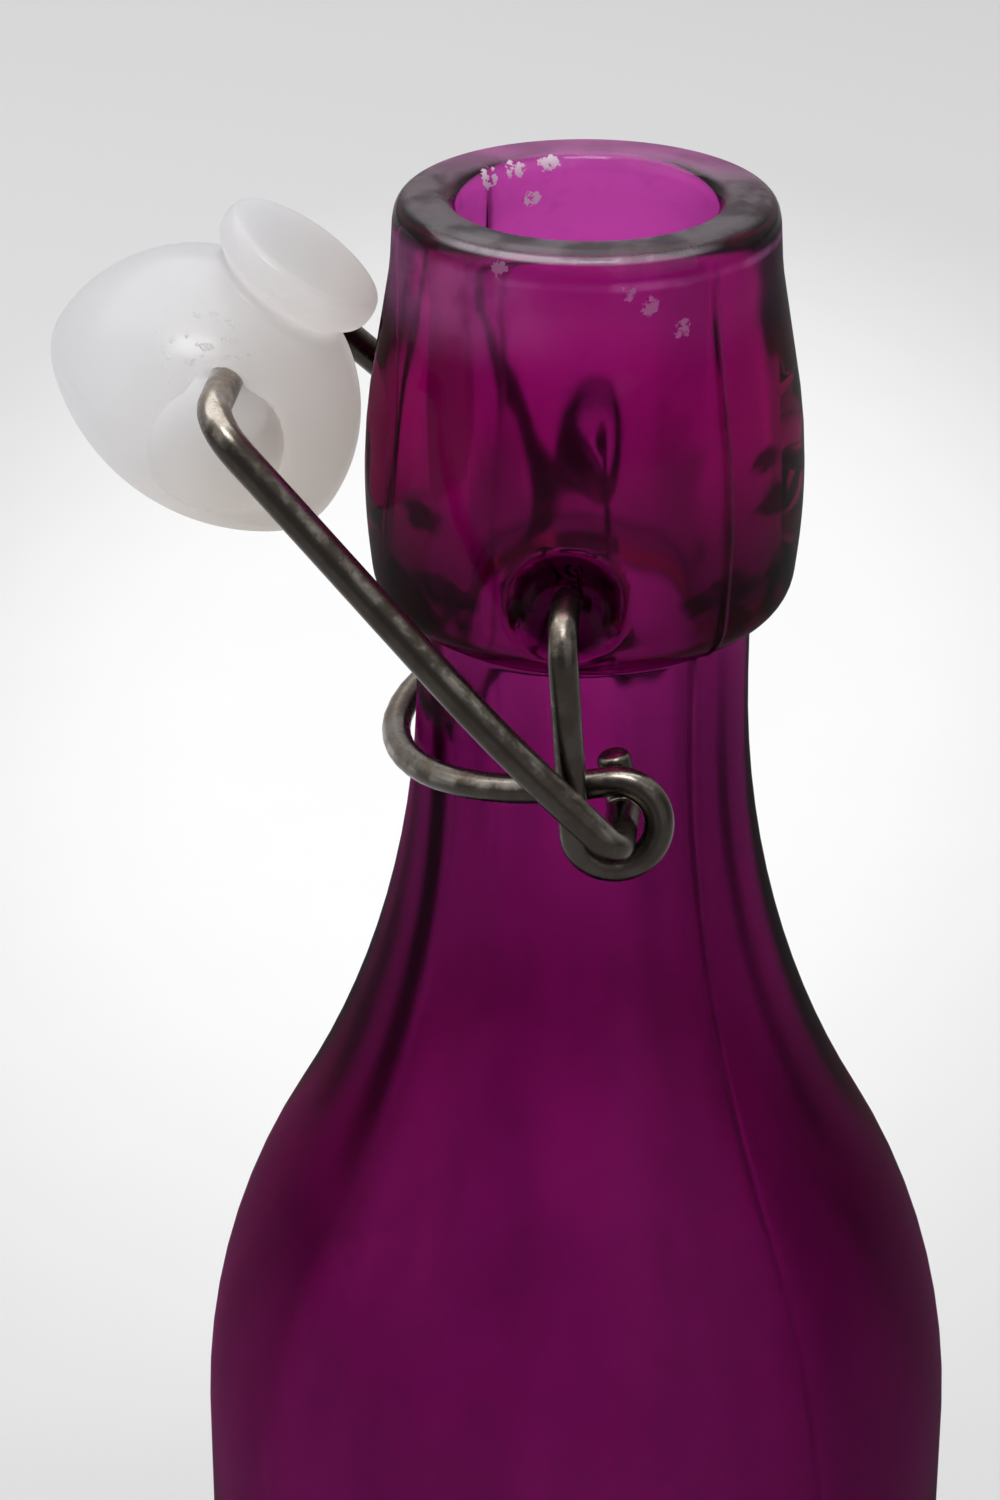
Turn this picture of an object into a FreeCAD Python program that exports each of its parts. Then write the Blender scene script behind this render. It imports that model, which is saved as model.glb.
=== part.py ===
import FreeCAD, Part
import Sketcher
import math
import os

from FreeCAD import Placement, Rotation, Vector

# Swing top bottle: a glass bottle, a lever wire, a bail wire and a one-piece plastic stopper.
# Millimetres, +Z up, origin at the middle of the base. The lever pivots along Y, and its
# thumb loop and the open stopper are on the -X side.

DRIVING_SIZES = {
    # Glass: overall sizes
    "glass_height": 188,
    "body_radius": 30.5,
    "body_wall": 3.2,
    "floor_thickness": 4,
    "heel_radius": 7,
    "inner_heel_radius": 8,
    "punt_depth": 4.5,
    "bearing_width": 4,
    # Glass: neck and shoulder, a hollow flare that turns into a round shoulder
    "neck_radius": 12.7,
    "neck_drop": 38,
    "flare_radius": 80,
    "shoulder_angle": 30,
    # Glass: collar, from the lip down
    "bore_radius": 9.5,
    "bore_length": 44,
    "mouth_bevel": 1.5,
    "lip_radius": 14.15,
    "lip_round": 1.5,
    "lip_ring_drop": 5.5,
    "lip_ring_radius": 14.4,
    "collar_radius": 16,
    "collar_cone_drop": 15,
    "collar_round_drop": 28.6,
    "collar_drop": 32.4,
    "collar_barrel_radius": 52,
    "collar_round": 3.8,
    # Glass: the two pivot dimples in the collar
    "pivot_drop": 26.2,
    "dimple_radius": 4.9,
    "dimple_floor_radius": 13.2,
    # Lever wire
    "lever_wire_radius": 1.1,
    "pin_clearance": 0.35,
    "lever_arm_offset": 19.5,
    "lever_bend": 3.2,
    "eye_across": 4.1,
    "eye_below": 15.9,
    "eye_mean_radius": 3.05,
    "eye_pitch": 2.4,
    "loop_slope": 12.2,
    "loop_clearance": 0.5,
    # Bail wire
    "bail_wire_radius": 1.25,
    "eye_clearance": 0.35,
    "eye_seat_angle": 45,
    "side_clearance": 0.3,
    "hook_bend": 1.6,
    "hook_length": 4.4,
    "hook_turn": 33,
    "bail_length": 42.2,
    "rest_clearance": 0.45,
    "bail_straight": 12,
    "bail_standoff": 3.3,
    "bail_top_bend": 4,
    # Stopper, measured along its own axis from the crown to the disc
    "crown_height": 6.9,
    "crown_edge_radius": 3.2,
    "stopper_radius": 12.3,
    "crown_under_radius": 12.2,
    "crown_under_angle": 64,
    "stem_radius": 5,
    "stem_length": 0.2,
    "disc_radius": 6.6,
    "disc_flare": 0.8,
    "disc_rim": 2.6,
    "disc_dish": 0.35,
    "hole_radius": 2.1,
    "hole_clearance": 0.3,
    "crosspiece_offset": 6.2,
    "flare_mouth_radius": 4.5,
    "flare_waist_radius": 2.6,
    "flare_offset": 2.6,
    "flare_across": 2.1,
    "flare_start": 2.5,
    "flare_round": 16,
    "stopper_tilt": 34.6,
}

# Sizes that follow from the driving ones, written as sheet formulas in their order of use.
DERIVED_SIZES = {
    "bearing_outer": "=body_radius - heel_radius",
    "bearing_inner": "=bearing_outer - bearing_width",
    "punt_radius": "=(bearing_inner^2 + punt_depth^2) / (2 * punt_depth)",
    "turn_rise": "=1 - cos(shoulder_angle * 1deg)",
    "turn_run": "=sin(shoulder_angle * 1deg)",
    "neck_foot": "=glass_height - neck_drop",
    "bend_height": "=neck_foot - flare_radius * turn_run",
    "bend_radius": "=neck_radius + flare_radius * turn_rise",
    "shoulder_radius": "=(body_radius - bend_radius) / turn_rise",
    "shoulder_foot": "=bend_height - shoulder_radius * turn_run",
    "collar_foot": "=glass_height - collar_drop",
    "collar_round_height": "=glass_height - collar_round_drop",
    "collar_cone_height": "=glass_height - collar_cone_drop",
    "lip_ring_height": "=glass_height - lip_ring_drop",
    "lip_side_height": "=glass_height - lip_round",
    "lip_flat_outer": "=lip_radius - lip_round",
    "lip_flat_inner": "=bore_radius + mouth_bevel",
    "bevel_foot": "=glass_height - mouth_bevel",
    "bore_foot": "=glass_height - bore_length",
    "cavity_radius": "=body_radius - body_wall",
    "cavity_bend_height": "=bore_foot - flare_radius * turn_run",
    "cavity_bend_radius": "=bore_radius + flare_radius * turn_rise",
    "cavity_shoulder_radius": "=(cavity_radius - cavity_bend_radius) / turn_rise",
    "cavity_shoulder_foot": "=cavity_bend_height - cavity_shoulder_radius * turn_run",
    "cavity_crown": "=punt_depth + floor_thickness",
    "cavity_punt": "=punt_depth / 2",
    "cavity_floor": "=cavity_crown - cavity_punt",
    "cavity_floor_radius": "=cavity_radius - inner_heel_radius",
    "cavity_heel": "=cavity_floor + inner_heel_radius",
    "cavity_punt_radius": "=(cavity_floor_radius^2 + cavity_punt^2) / (2 * cavity_punt)",
    "pivot_height": "=glass_height - pivot_drop",
    "dimple_centre": "=dimple_floor_radius + dimple_radius",
    "crown_edge_offset": "=stopper_radius - crown_edge_radius",
    "crown_radius": "=(crown_height^2 + crown_edge_offset^2 - crown_edge_radius^2)"
                    " / (2 * (crown_height - crown_edge_radius))",
    "crown_join_share": "=crown_radius / (crown_radius - crown_edge_radius)",
    "crown_join_radius": "=crown_edge_offset * crown_join_share",
    "crown_join_height": "=crown_radius - (crown_radius - crown_height) * crown_join_share",
    "crown_under_offset": "=stopper_radius - crown_under_radius",
    "under_join_radius": "=crown_under_offset + crown_under_radius * cos(crown_under_angle * 1deg)",
    "under_join_height": "=crown_height + crown_under_radius * sin(crown_under_angle * 1deg)",
    "saddle_radius": "=(under_join_radius - stem_radius) / (1 - cos(crown_under_angle * 1deg))",
    "stem_foot": "=under_join_height + saddle_radius * sin(crown_under_angle * 1deg)",
    "stem_top": "=stem_foot + stem_length",
    "disc_bulge": "=disc_rim / 6",
    "disc_edge_radius": "=disc_radius - disc_bulge",
    "disc_under": "=stem_top + disc_flare",
    "disc_face": "=disc_under + disc_rim",
    "disc_rim_radius": "=((disc_rim / 2)^2 + disc_bulge^2) / (2 * disc_bulge)",
    "disc_middle": "=disc_face - disc_dish",
    "disc_dish_radius": "=(disc_edge_radius^2 + disc_dish^2) / (2 * disc_dish)",
    "crosspiece_height": "=crown_height + crosspiece_offset",
    "hole_height": "=crosspiece_height - hole_radius + bail_wire_radius + hole_clearance",
    "flare_axis": "=crown_height + flare_offset",
    "flare_mouth_edge": "=flare_axis + flare_mouth_radius",
    "flare_waist_edge": "=flare_axis + flare_waist_radius",
    "flare_depth": "=stopper_radius + bail_wire_radius",
    "hook_offset": "=eye_mean_radius - lever_wire_radius - bail_wire_radius - eye_clearance",
    "hook_across": "=eye_across + hook_offset * cos(eye_seat_angle * 1deg)",
    "hook_height": "=pivot_height - eye_below - hook_offset * sin(eye_seat_angle * 1deg)",
    "collar_half_height": "=(collar_round_drop - collar_cone_drop) / 2",
    "collar_belly": "=collar_barrel_radius - sqrt(collar_barrel_radius^2 - collar_half_height^2)",
    "crown_reach": "=crown_under_offset * cos(stopper_tilt * 1deg) + crown_under_radius"
                   " - crosspiece_offset * sin(stopper_tilt * 1deg)",
    "bail_overhang": "=hook_across + collar_radius + collar_belly + rest_clearance + crown_reach",
    "bail_lean": "=asin(bail_overhang / bail_length) / 1deg",
    "bail_top_half": "=stopper_radius + bail_standoff",
}

# Directions closer than this count as the same, and a swept wire's volume may miss its section
# times its length by this share. An eye's turn is laid out in this many steps.
SAME_HEADING = 1e-6
SWEEP_TOLERANCE = 0.02
EYE_STEPS = 4

document = FreeCAD.newDocument("swing_top_bottle")
sheet = document.addObject("Spreadsheet::Sheet", "sizes")


def fill_sheet():
    """Write every size into column B beside its name, and give the cell that name."""
    sizes = {**DRIVING_SIZES, **DERIVED_SIZES}
    for row, (name, value) in enumerate(sizes.items(), start=1):
        sheet.set(f"A{row}", name)
        sheet.set(f"B{row}", str(value))
        sheet.setAlias(f"B{row}", name)
    document.recompute()


def size(name):
    """A size from the sheet as a plain number."""
    return float(sheet.get(name))


def origin_feature(body, role):
    """A body's own origin plane or axis, by its role."""
    return next(item for item in body.Origin.OriginFeatures if item.Role == role)


def add_sketch(body, name, plane):
    """An empty sketch on one of the body's origin planes."""
    sketch = body.newObject("Sketcher::SketchObject", name)
    sketch.AttachmentSupport = [(origin_feature(body, plane), "")]
    sketch.MapMode = "FlatFace"
    return sketch


def bind(sketch, constraint, name):
    """Tie a sketch dimension to a size in the sheet."""
    sketch.setExpression(f"Constraints[{constraint}]", f"sizes.{name}")


def pin_coordinate(sketch, edge, end, kind, name, axis):
    """Fix one coordinate of an edge's end to a size, or to the axis where it has none."""
    if name is None:
        sketch.addConstraint(Sketcher.Constraint("PointOnObject", edge, end, axis))
        return
    index = sketch.addConstraint(Sketcher.Constraint(kind, -1, 1, edge, end, size(name)))
    bind(sketch, index, name)


def arc_through(start, end, radius, bulge):
    """The shorter arc between two points; bulge is 1 for an arc that turns left on the way, -1 for right."""
    chord = end - start
    half = chord.Length / 2
    side = Vector(-chord.y, chord.x, 0).normalize()
    centre = start + chord * 0.5 + side * (bulge * math.sqrt(max(radius ** 2 - half ** 2, 0)))
    first, last = (start, end) if bulge > 0 else (end, start)
    angles = [math.atan2(point.y - centre.y, point.x - centre.x) for point in (first, last)]
    return Part.ArcOfCircle(Part.Circle(centre, Vector(0, 0, 1), radius), *angles)


def outline(sketch, corners, arcs):
    """A closed outline with every corner and radius tied to the sheet.

    Each corner is a pair of size names, None on an axis. arcs maps an edge's number to its
    radius name and its bulge, and the other edges are straight.
    """
    points = [Vector(size(across) if across else 0, size(up) if up else 0, 0) for across, up in corners]
    start_end = {}
    for number, start in enumerate(points):
        end = points[(number + 1) % len(points)]
        radius_name, bulge = arcs.get(number, (None, 1))
        if radius_name is None:
            edge = sketch.addGeometry(Part.LineSegment(start, end), False)
        else:
            edge = sketch.addGeometry(arc_through(start, end, size(radius_name), bulge), False)
        start_end[number] = (edge, 1, 2) if bulge > 0 else (edge, 2, 1)
    for number in range(len(points)):
        edge, _, last = start_end[number]
        after, after_first, _ = start_end[(number + 1) % len(points)]
        sketch.addConstraint(Sketcher.Constraint("Coincident", edge, last, after, after_first))
    for number, (across, up) in enumerate(corners):
        edge, first, _ = start_end[number]
        pin_coordinate(sketch, edge, first, "DistanceX", across, -2)
        pin_coordinate(sketch, edge, first, "DistanceY", up, -1)
    for number, (radius_name, _) in arcs.items():
        edge = start_end[number][0]
        index = sketch.addConstraint(Sketcher.Constraint("Radius", edge, size(radius_name)))
        bind(sketch, index, radius_name)


def circle(sketch, height_name, radius_name):
    """A circle on the sketch's upright axis, its height and radius tied to the sheet."""
    centre = Vector(0, size(height_name), 0)
    edge = sketch.addGeometry(Part.Circle(centre, Vector(0, 0, 1), size(radius_name)), False)
    pin_coordinate(sketch, edge, 3, "DistanceX", None, -2)
    pin_coordinate(sketch, edge, 3, "DistanceY", height_name, -1)
    index = sketch.addConstraint(Sketcher.Constraint("Radius", edge, size(radius_name)))
    bind(sketch, index, radius_name)


def revolve(body, name, sketch):
    """Turn an outline once round the sketch's upright axis."""
    turned = body.newObject("PartDesign::Revolution", name)
    turned.Profile = sketch
    turned.ReferenceAxis = (sketch, ["V_Axis"])
    turned.Angle = 360
    document.recompute()
    return turned


# Glass bottle


def build_bottle():
    """The bottle as one turned wall, with a round dimple cut into each side of the collar."""
    body = document.addObject("PartDesign::Body", "glass_bottle")
    wall = add_sketch(body, "bottle_wall", "XZ_Plane")
    outline(
        wall,
        corners=[
            (None, "punt_depth"),
            ("bearing_inner", None),
            ("bearing_outer", None),
            ("body_radius", "heel_radius"),
            ("body_radius", "shoulder_foot"),
            ("bend_radius", "bend_height"),
            ("neck_radius", "neck_foot"),
            ("neck_radius", "collar_foot"),
            ("collar_radius", "collar_round_height"),
            ("collar_radius", "collar_cone_height"),
            ("lip_ring_radius", "lip_ring_height"),
            ("lip_radius", "lip_side_height"),
            ("lip_flat_outer", "glass_height"),
            ("lip_flat_inner", "glass_height"),
            ("bore_radius", "bevel_foot"),
            ("bore_radius", "bore_foot"),
            ("cavity_bend_radius", "cavity_bend_height"),
            ("cavity_radius", "cavity_shoulder_foot"),
            ("cavity_radius", "cavity_heel"),
            ("cavity_floor_radius", "cavity_floor"),
            (None, "cavity_crown"),
        ],
        arcs={
            0: ("punt_radius", -1),
            2: ("heel_radius", 1),
            4: ("shoulder_radius", 1),
            5: ("flare_radius", -1),
            7: ("collar_round", 1),
            8: ("collar_barrel_radius", 1),
            11: ("lip_round", 1),
            15: ("flare_radius", 1),
            16: ("cavity_shoulder_radius", -1),
            18: ("inner_heel_radius", -1),
            19: ("cavity_punt_radius", 1),
        },
    )
    revolve(body, "bottle_turned", wall)
    add_dimples(body)
    return body


def add_dimples(body):
    """Cut the ball-shaped pivot dimple and repeat it on the far side of the collar."""
    sketch = add_sketch(body, "dimple_half_disc", "YZ_Plane")
    centre = Vector(size("dimple_centre"), size("pivot_height"), 0)
    reach = Vector(size("dimple_radius"), 0, 0)
    ball = Part.Circle(centre, Vector(0, 0, 1), size("dimple_radius"))
    arc = sketch.addGeometry(Part.ArcOfCircle(ball, 0, math.pi), False)
    line = sketch.addGeometry(Part.LineSegment(centre - reach, centre + reach), False)
    sketch.addConstraint(Sketcher.Constraint("Coincident", arc, 2, line, 1))
    sketch.addConstraint(Sketcher.Constraint("Coincident", arc, 1, line, 2))
    sketch.addConstraint(Sketcher.Constraint("PointOnObject", arc, 3, line))
    sketch.addConstraint(Sketcher.Constraint("Horizontal", line))
    pin_coordinate(sketch, arc, 3, "DistanceX", "dimple_centre", -2)
    pin_coordinate(sketch, arc, 3, "DistanceY", "pivot_height", -1)
    index = sketch.addConstraint(Sketcher.Constraint("Radius", arc, size("dimple_radius")))
    bind(sketch, index, "dimple_radius")
    solid_volume = body.Shape.Volume
    dimple = body.newObject("PartDesign::Groove", "near_dimple")
    dimple.Profile = sketch
    dimple.ReferenceAxis = (sketch, [f"Edge{line + 1}"])
    dimple.Angle = 360
    document.recompute()
    pair = body.newObject("PartDesign::PolarPattern", "dimple_pair")
    pair.Originals = [dimple]
    pair.Axis = (origin_feature(body, "Z_Axis"), [""])
    pair.Angle = 360
    pair.Occurrences = 2
    body.Tip = pair
    document.recompute()
    if not body.Shape.Volume < dimple.Shape.Volume < solid_volume:
        raise RuntimeError("a dimple cut nothing out of the collar")


# Bent wires


def arc_from(start, heading, end):
    """The arc that leaves start along heading and reaches end, or a straight run."""
    chord = end - start
    along = Vector(chord).normalize()
    sideways = heading - along * heading.dot(along)
    if sideways.Length < SAME_HEADING:
        return Part.LineSegment(start, end).toShape()
    turn = heading.getAngle(chord)
    middle = start + chord * 0.5 + sideways.normalize() * (chord.Length / 2 * math.tan(turn / 2))
    return Part.Arc(start, middle, end).toShape()


def span(start, heading, end, last_heading):
    """Edges between two stations of a wire: one straight run, or two arcs that meet smoothly."""
    chord = end - start
    if max(heading.cross(chord).Length, last_heading.cross(chord).Length) < SAME_HEADING:
        return [Part.LineSegment(start, end).toShape()]
    both = heading + last_heading
    bend = 1 - heading.dot(last_heading)
    pull = chord.dot(both)
    if bend < SAME_HEADING ** 2:
        reach = chord.dot(chord) / (2 * pull)
    else:
        reach = (math.sqrt(pull ** 2 + 2 * bend * chord.dot(chord)) - pull) / (2 * bend)
    meeting = (start + heading * reach + end - last_heading * reach) * 0.5
    return [arc_from(start, heading, meeting), arc_from(end, -last_heading, meeting)]


def mirrored(stations):
    """A symmetrical wire: the near half's stations, then the far half's in the way of travel."""
    far = [
        (Vector(place.x, -place.y, place.z), Vector(-heading.x, heading.y, -heading.z))
        for place, heading in reversed(stations[:-1])
    ]
    return stations + far


def bent_wire(label, stations, radius_name, placement):
    """A round wire swept along stations, each a place and the heading there."""
    edges = []
    for (start, heading), (end, last_heading) in zip(stations, stations[1:]):
        edges += span(start, heading, end, last_heading)
    path = document.addObject("Part::Feature", f"{label}_path")
    path.Shape = Part.Wire(Part.__sortEdges__(edges))
    section = document.addObject("Part::Circle", f"{label}_section")
    section.setExpression("Radius", f"sizes.{radius_name}")
    first_place, first_heading = stations[0]
    section.Placement = Placement(first_place, Rotation(Vector(0, 0, 1), first_heading))
    wire = document.addObject("Part::Sweep", label)
    wire.Sections = [section]
    wire.Spine = (path, [f"Edge{number + 1}" for number in range(len(path.Shape.Edges))])
    wire.Solid = True
    wire.Frenet = False
    wire.Placement = placement
    document.recompute()
    swept = math.pi * size(radius_name) ** 2 * path.Shape.Length
    if abs(wire.Shape.Volume - swept) > SWEEP_TOLERANCE * swept:
        raise RuntimeError(f"{label} does not fill its section times its length")
    return wire


def lever_eye_stations(centre, first, last, arm_offset):
    """Stations round the lever's one-turn eye, which winds inwards towards the neck."""
    radius = size("eye_mean_radius")
    pitch = size("eye_pitch")
    stations = []
    for step in range(EYE_STEPS + 1):
        share = step / EYE_STEPS
        angle = first + (last - first) * share
        inwards = pitch * (1 - math.cos(math.pi * share)) / 2
        inward_rate = pitch * math.pi * math.sin(math.pi * share) / 2 / (last - first)
        place = centre + Vector(radius * math.cos(angle), -arm_offset + inwards, radius * math.sin(angle))
        heading = Vector(-radius * math.sin(angle), inward_rate, radius * math.cos(angle)).normalize()
        stations.append((place, heading))
    return stations


def build_lever():
    """The lever wire about its pivot: pin, arm, eye and half of the thumb loop, mirrored."""
    arm_offset = size("lever_arm_offset")
    bend = size("lever_bend")
    radius = size("eye_mean_radius")
    outwards = Vector(0, -1, 0)
    eye = Vector(size("eye_across"), 0, -size("eye_below"))
    lean = math.atan2(eye.x, -eye.z) - math.asin(radius / eye.Length)
    down = Vector(math.sin(lean), 0, -math.cos(lean))
    slope = math.radians(size("loop_slope"))
    away = Vector(-math.cos(slope), 0, -math.sin(slope))
    pin_end = size("dimple_floor_radius") + size("pin_clearance")
    corner = Vector(0, -arm_offset, 0)
    eye_path = lever_eye_stations(eye, math.pi + lean, 2.5 * math.pi + slope, arm_offset)
    eye_exit = eye_path[-1][0]
    half_width = -eye_exit.y
    loop_end = size("neck_radius") + size("lever_wire_radius") + size("loop_clearance")
    loop_run = (eye_exit.x + loop_end) / math.cos(slope)
    stations = [
        (Vector(0, -pin_end, 0), outwards),
        (corner - outwards * bend, outwards),
        (corner + down * bend, down),
        *eye_path,
        (eye_exit + away * (loop_run - half_width), away),
        (eye_exit + away * loop_run + Vector(0, half_width, 0), -outwards),
    ]
    placement = Placement(Vector(0, 0, size("pivot_height")), Rotation())
    return bent_wire("lever_wire", mirrored(stations), "lever_wire_radius", placement)


def bail_placement():
    """The bail stands on its hooks in the eyes and leans until the stopper rests by the collar."""
    hooks = Vector(size("hook_across"), 0, size("hook_height"))
    return Placement(hooks, Rotation(Vector(0, 1, 0), -size("bail_lean")))


def build_bail():
    """The bail wire about its hooks: hook, arm and half of the crosspiece, mirrored."""
    wire = size("bail_wire_radius")
    lever_wire = size("lever_wire_radius")
    gap = size("side_clearance")
    bend = size("hook_bend")
    top_bend = size("bail_top_bend")
    length = size("bail_length")
    straight = size("bail_straight")
    hook_turn = math.radians(size("hook_turn"))
    eye_front = size("lever_arm_offset") + lever_wire
    eye_back = size("lever_arm_offset") - size("eye_pitch") - lever_wire
    arm = eye_front + gap + wire
    hook = eye_back - gap - wire
    taper = math.atan2(arm - size("bail_top_half"), length - straight)
    outwards = Vector(0, -1, 0)
    up = Vector(0, 0, 1)
    inwards = Vector(0, math.sin(taper), math.cos(taper))
    hook_up = Vector(math.sin(hook_turn), 0, math.cos(hook_turn))
    hook_corner = outwards * hook
    arm_corner = outwards * arm
    taper_corner = arm_corner + up * straight
    taper_reach = straight / 2
    top_corner = taper_corner + inwards * ((length - straight) / math.cos(taper))
    top_reach = top_bend * math.tan((math.pi / 2 - taper) / 2)
    stations = [
        (hook_corner + hook_up * size("hook_length"), -hook_up),
        (hook_corner + hook_up * bend, -hook_up),
        (hook_corner + outwards * bend, outwards),
        (arm_corner - outwards * bend, outwards),
        (arm_corner + up * bend, up),
        (taper_corner - up * taper_reach, up),
        (taper_corner + inwards * taper_reach, inwards),
        (top_corner - inwards * top_reach, inwards),
        (top_corner - outwards * top_reach, -outwards),
        (up * length, -outwards),
    ]
    return bent_wire("bail_wire", mirrored(stations), "bail_wire_radius", bail_placement())


# Stopper


def build_stopper():
    """The stopper as one turned piece along its own axis, with the flared cross hole through it."""
    body = document.addObject("PartDesign::Body", "stopper")
    half = add_sketch(body, "stopper_half", "XZ_Plane")
    outline(
        half,
        corners=[
            (None, None),
            ("crown_join_radius", "crown_join_height"),
            ("stopper_radius", "crown_height"),
            ("under_join_radius", "under_join_height"),
            ("stem_radius", "stem_foot"),
            ("stem_radius", "stem_top"),
            ("disc_edge_radius", "disc_under"),
            ("disc_edge_radius", "disc_face"),
            (None, "disc_middle"),
        ],
        arcs={
            0: ("crown_radius", 1),
            1: ("crown_edge_radius", 1),
            2: ("crown_under_radius", 1),
            3: ("saddle_radius", -1),
            6: ("disc_rim_radius", 1),
            7: ("disc_dish_radius", -1),
        },
    )
    revolve(body, "stopper_turned", half)
    hole = add_sketch(body, "cross_hole", "XZ_Plane")
    circle(hole, "hole_height", "hole_radius")
    drilled = body.newObject("PartDesign::Pocket", "cross_hole_cut")
    drilled.Profile = hole
    drilled.Type = "ThroughAll"
    drilled.Midplane = True
    document.recompute()
    trumpet = add_sketch(body, "flare_half", "YZ_Plane")
    trumpet.setExpression("AttachmentOffset.Base.z", "sizes.flare_across")
    outline(
        trumpet,
        corners=[
            ("flare_start", "flare_axis"),
            ("flare_depth", "flare_axis"),
            ("flare_depth", "flare_mouth_edge"),
            ("flare_start", "flare_waist_edge"),
        ],
        arcs={2: ("flare_round", -1)},
    )
    flare = body.newObject("PartDesign::Groove", "hole_flare")
    flare.Profile = trumpet
    flare.ReferenceAxis = (trumpet, ["Edge1"])
    flare.Angle = 360
    document.recompute()
    pair = body.newObject("PartDesign::Mirrored", "hole_flares")
    pair.Originals = [flare]
    pair.MirrorPlane = (origin_feature(body, "XZ_Plane"), [""])
    body.Tip = pair
    hang = Placement(Vector(0, 0, -size("crosspiece_height")), Rotation())
    turn = Rotation(Vector(0, 1, 0), size("stopper_tilt"))
    crosspiece = bail_placement().multVec(Vector(0, 0, size("bail_length")))
    body.Placement = Placement(crosspiece, turn).multiply(hang)
    document.recompute()
    return body


def write_parts(pieces):
    """Check that everything was made, then write one file for each piece."""
    for item in document.Objects:
        if "Invalid" in item.State or "Error" in item.State:
            raise RuntimeError(f"{item.Name} failed: {item.State}")
    for piece in pieces:
        if piece.Shape.isNull() or not piece.Shape.isValid() or len(piece.Shape.Solids) != 1:
            raise RuntimeError(f"{piece.Label} is not one valid solid")
    os.makedirs("parts", exist_ok=True)
    for piece in pieces:
        piece.Shape.exportStep(f"parts/{piece.Label}.step")
        box = piece.Shape.BoundBox
        print(f"{piece.Label}: {piece.Shape.Volume:.1f} mm3, Z {box.ZMin:.2f} to {box.ZMax:.2f}")


fill_sheet()
write_parts([build_bottle(), build_lever(), build_bail(), build_stopper()])
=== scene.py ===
import logging
import math
from dataclasses import dataclass
from enum import Enum
from functools import partial, reduce
from typing import Callable

import bpy
from mathutils import Euler, Matrix, Vector


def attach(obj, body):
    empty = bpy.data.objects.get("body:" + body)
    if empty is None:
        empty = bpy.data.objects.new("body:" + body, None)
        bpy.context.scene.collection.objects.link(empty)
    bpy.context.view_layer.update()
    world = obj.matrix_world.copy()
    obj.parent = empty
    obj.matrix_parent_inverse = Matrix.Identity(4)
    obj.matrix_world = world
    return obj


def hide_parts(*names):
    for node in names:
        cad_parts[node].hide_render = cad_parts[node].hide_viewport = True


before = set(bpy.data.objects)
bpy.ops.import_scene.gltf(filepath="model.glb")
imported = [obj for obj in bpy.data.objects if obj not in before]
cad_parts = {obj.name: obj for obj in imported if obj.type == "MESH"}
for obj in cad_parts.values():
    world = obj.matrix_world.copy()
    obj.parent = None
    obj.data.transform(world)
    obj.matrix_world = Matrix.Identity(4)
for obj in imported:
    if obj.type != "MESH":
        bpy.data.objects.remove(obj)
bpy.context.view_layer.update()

LOG = logging.getLogger("swing_top_bottle")
MM = 0.001
MERGE_DISTANCE = 2e-6

# Lengths are in metres. A spot is a middle and a reach, a station a place and a heading
Point = tuple[float, float]
Place = tuple[float, float, float]
Colour = tuple[float, float, float, float]
Spot = tuple[Place, float]
Station = tuple[Vector, Vector]
Socket = bpy.types.NodeSocket

WHOLE: Point = (0.0, 1.0)
PATCH_ENDS: Point = (0.34, 0.66)
SPECK_ENDS: Point = (0.58, 0.72)
OUTWARDS = Vector((0, -1, 0))


class Body(Enum):
    """The rigid bodies that pieces ride on."""

    BOTTLE = "bottle"
    LEVER = "lever"
    BAIL = "bail"
    STOPPER = "stopper"


class Slot(Enum):
    """The material slots of the record."""

    GLASS = "tinted_glass"
    STEEL = "steel_wire"
    PLASTIC = "white_plastic"


class Turn(Enum):
    """Which way an arc of an outline turns on its way."""

    LEFT = 1
    RIGHT = -1


# Bench work


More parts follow.
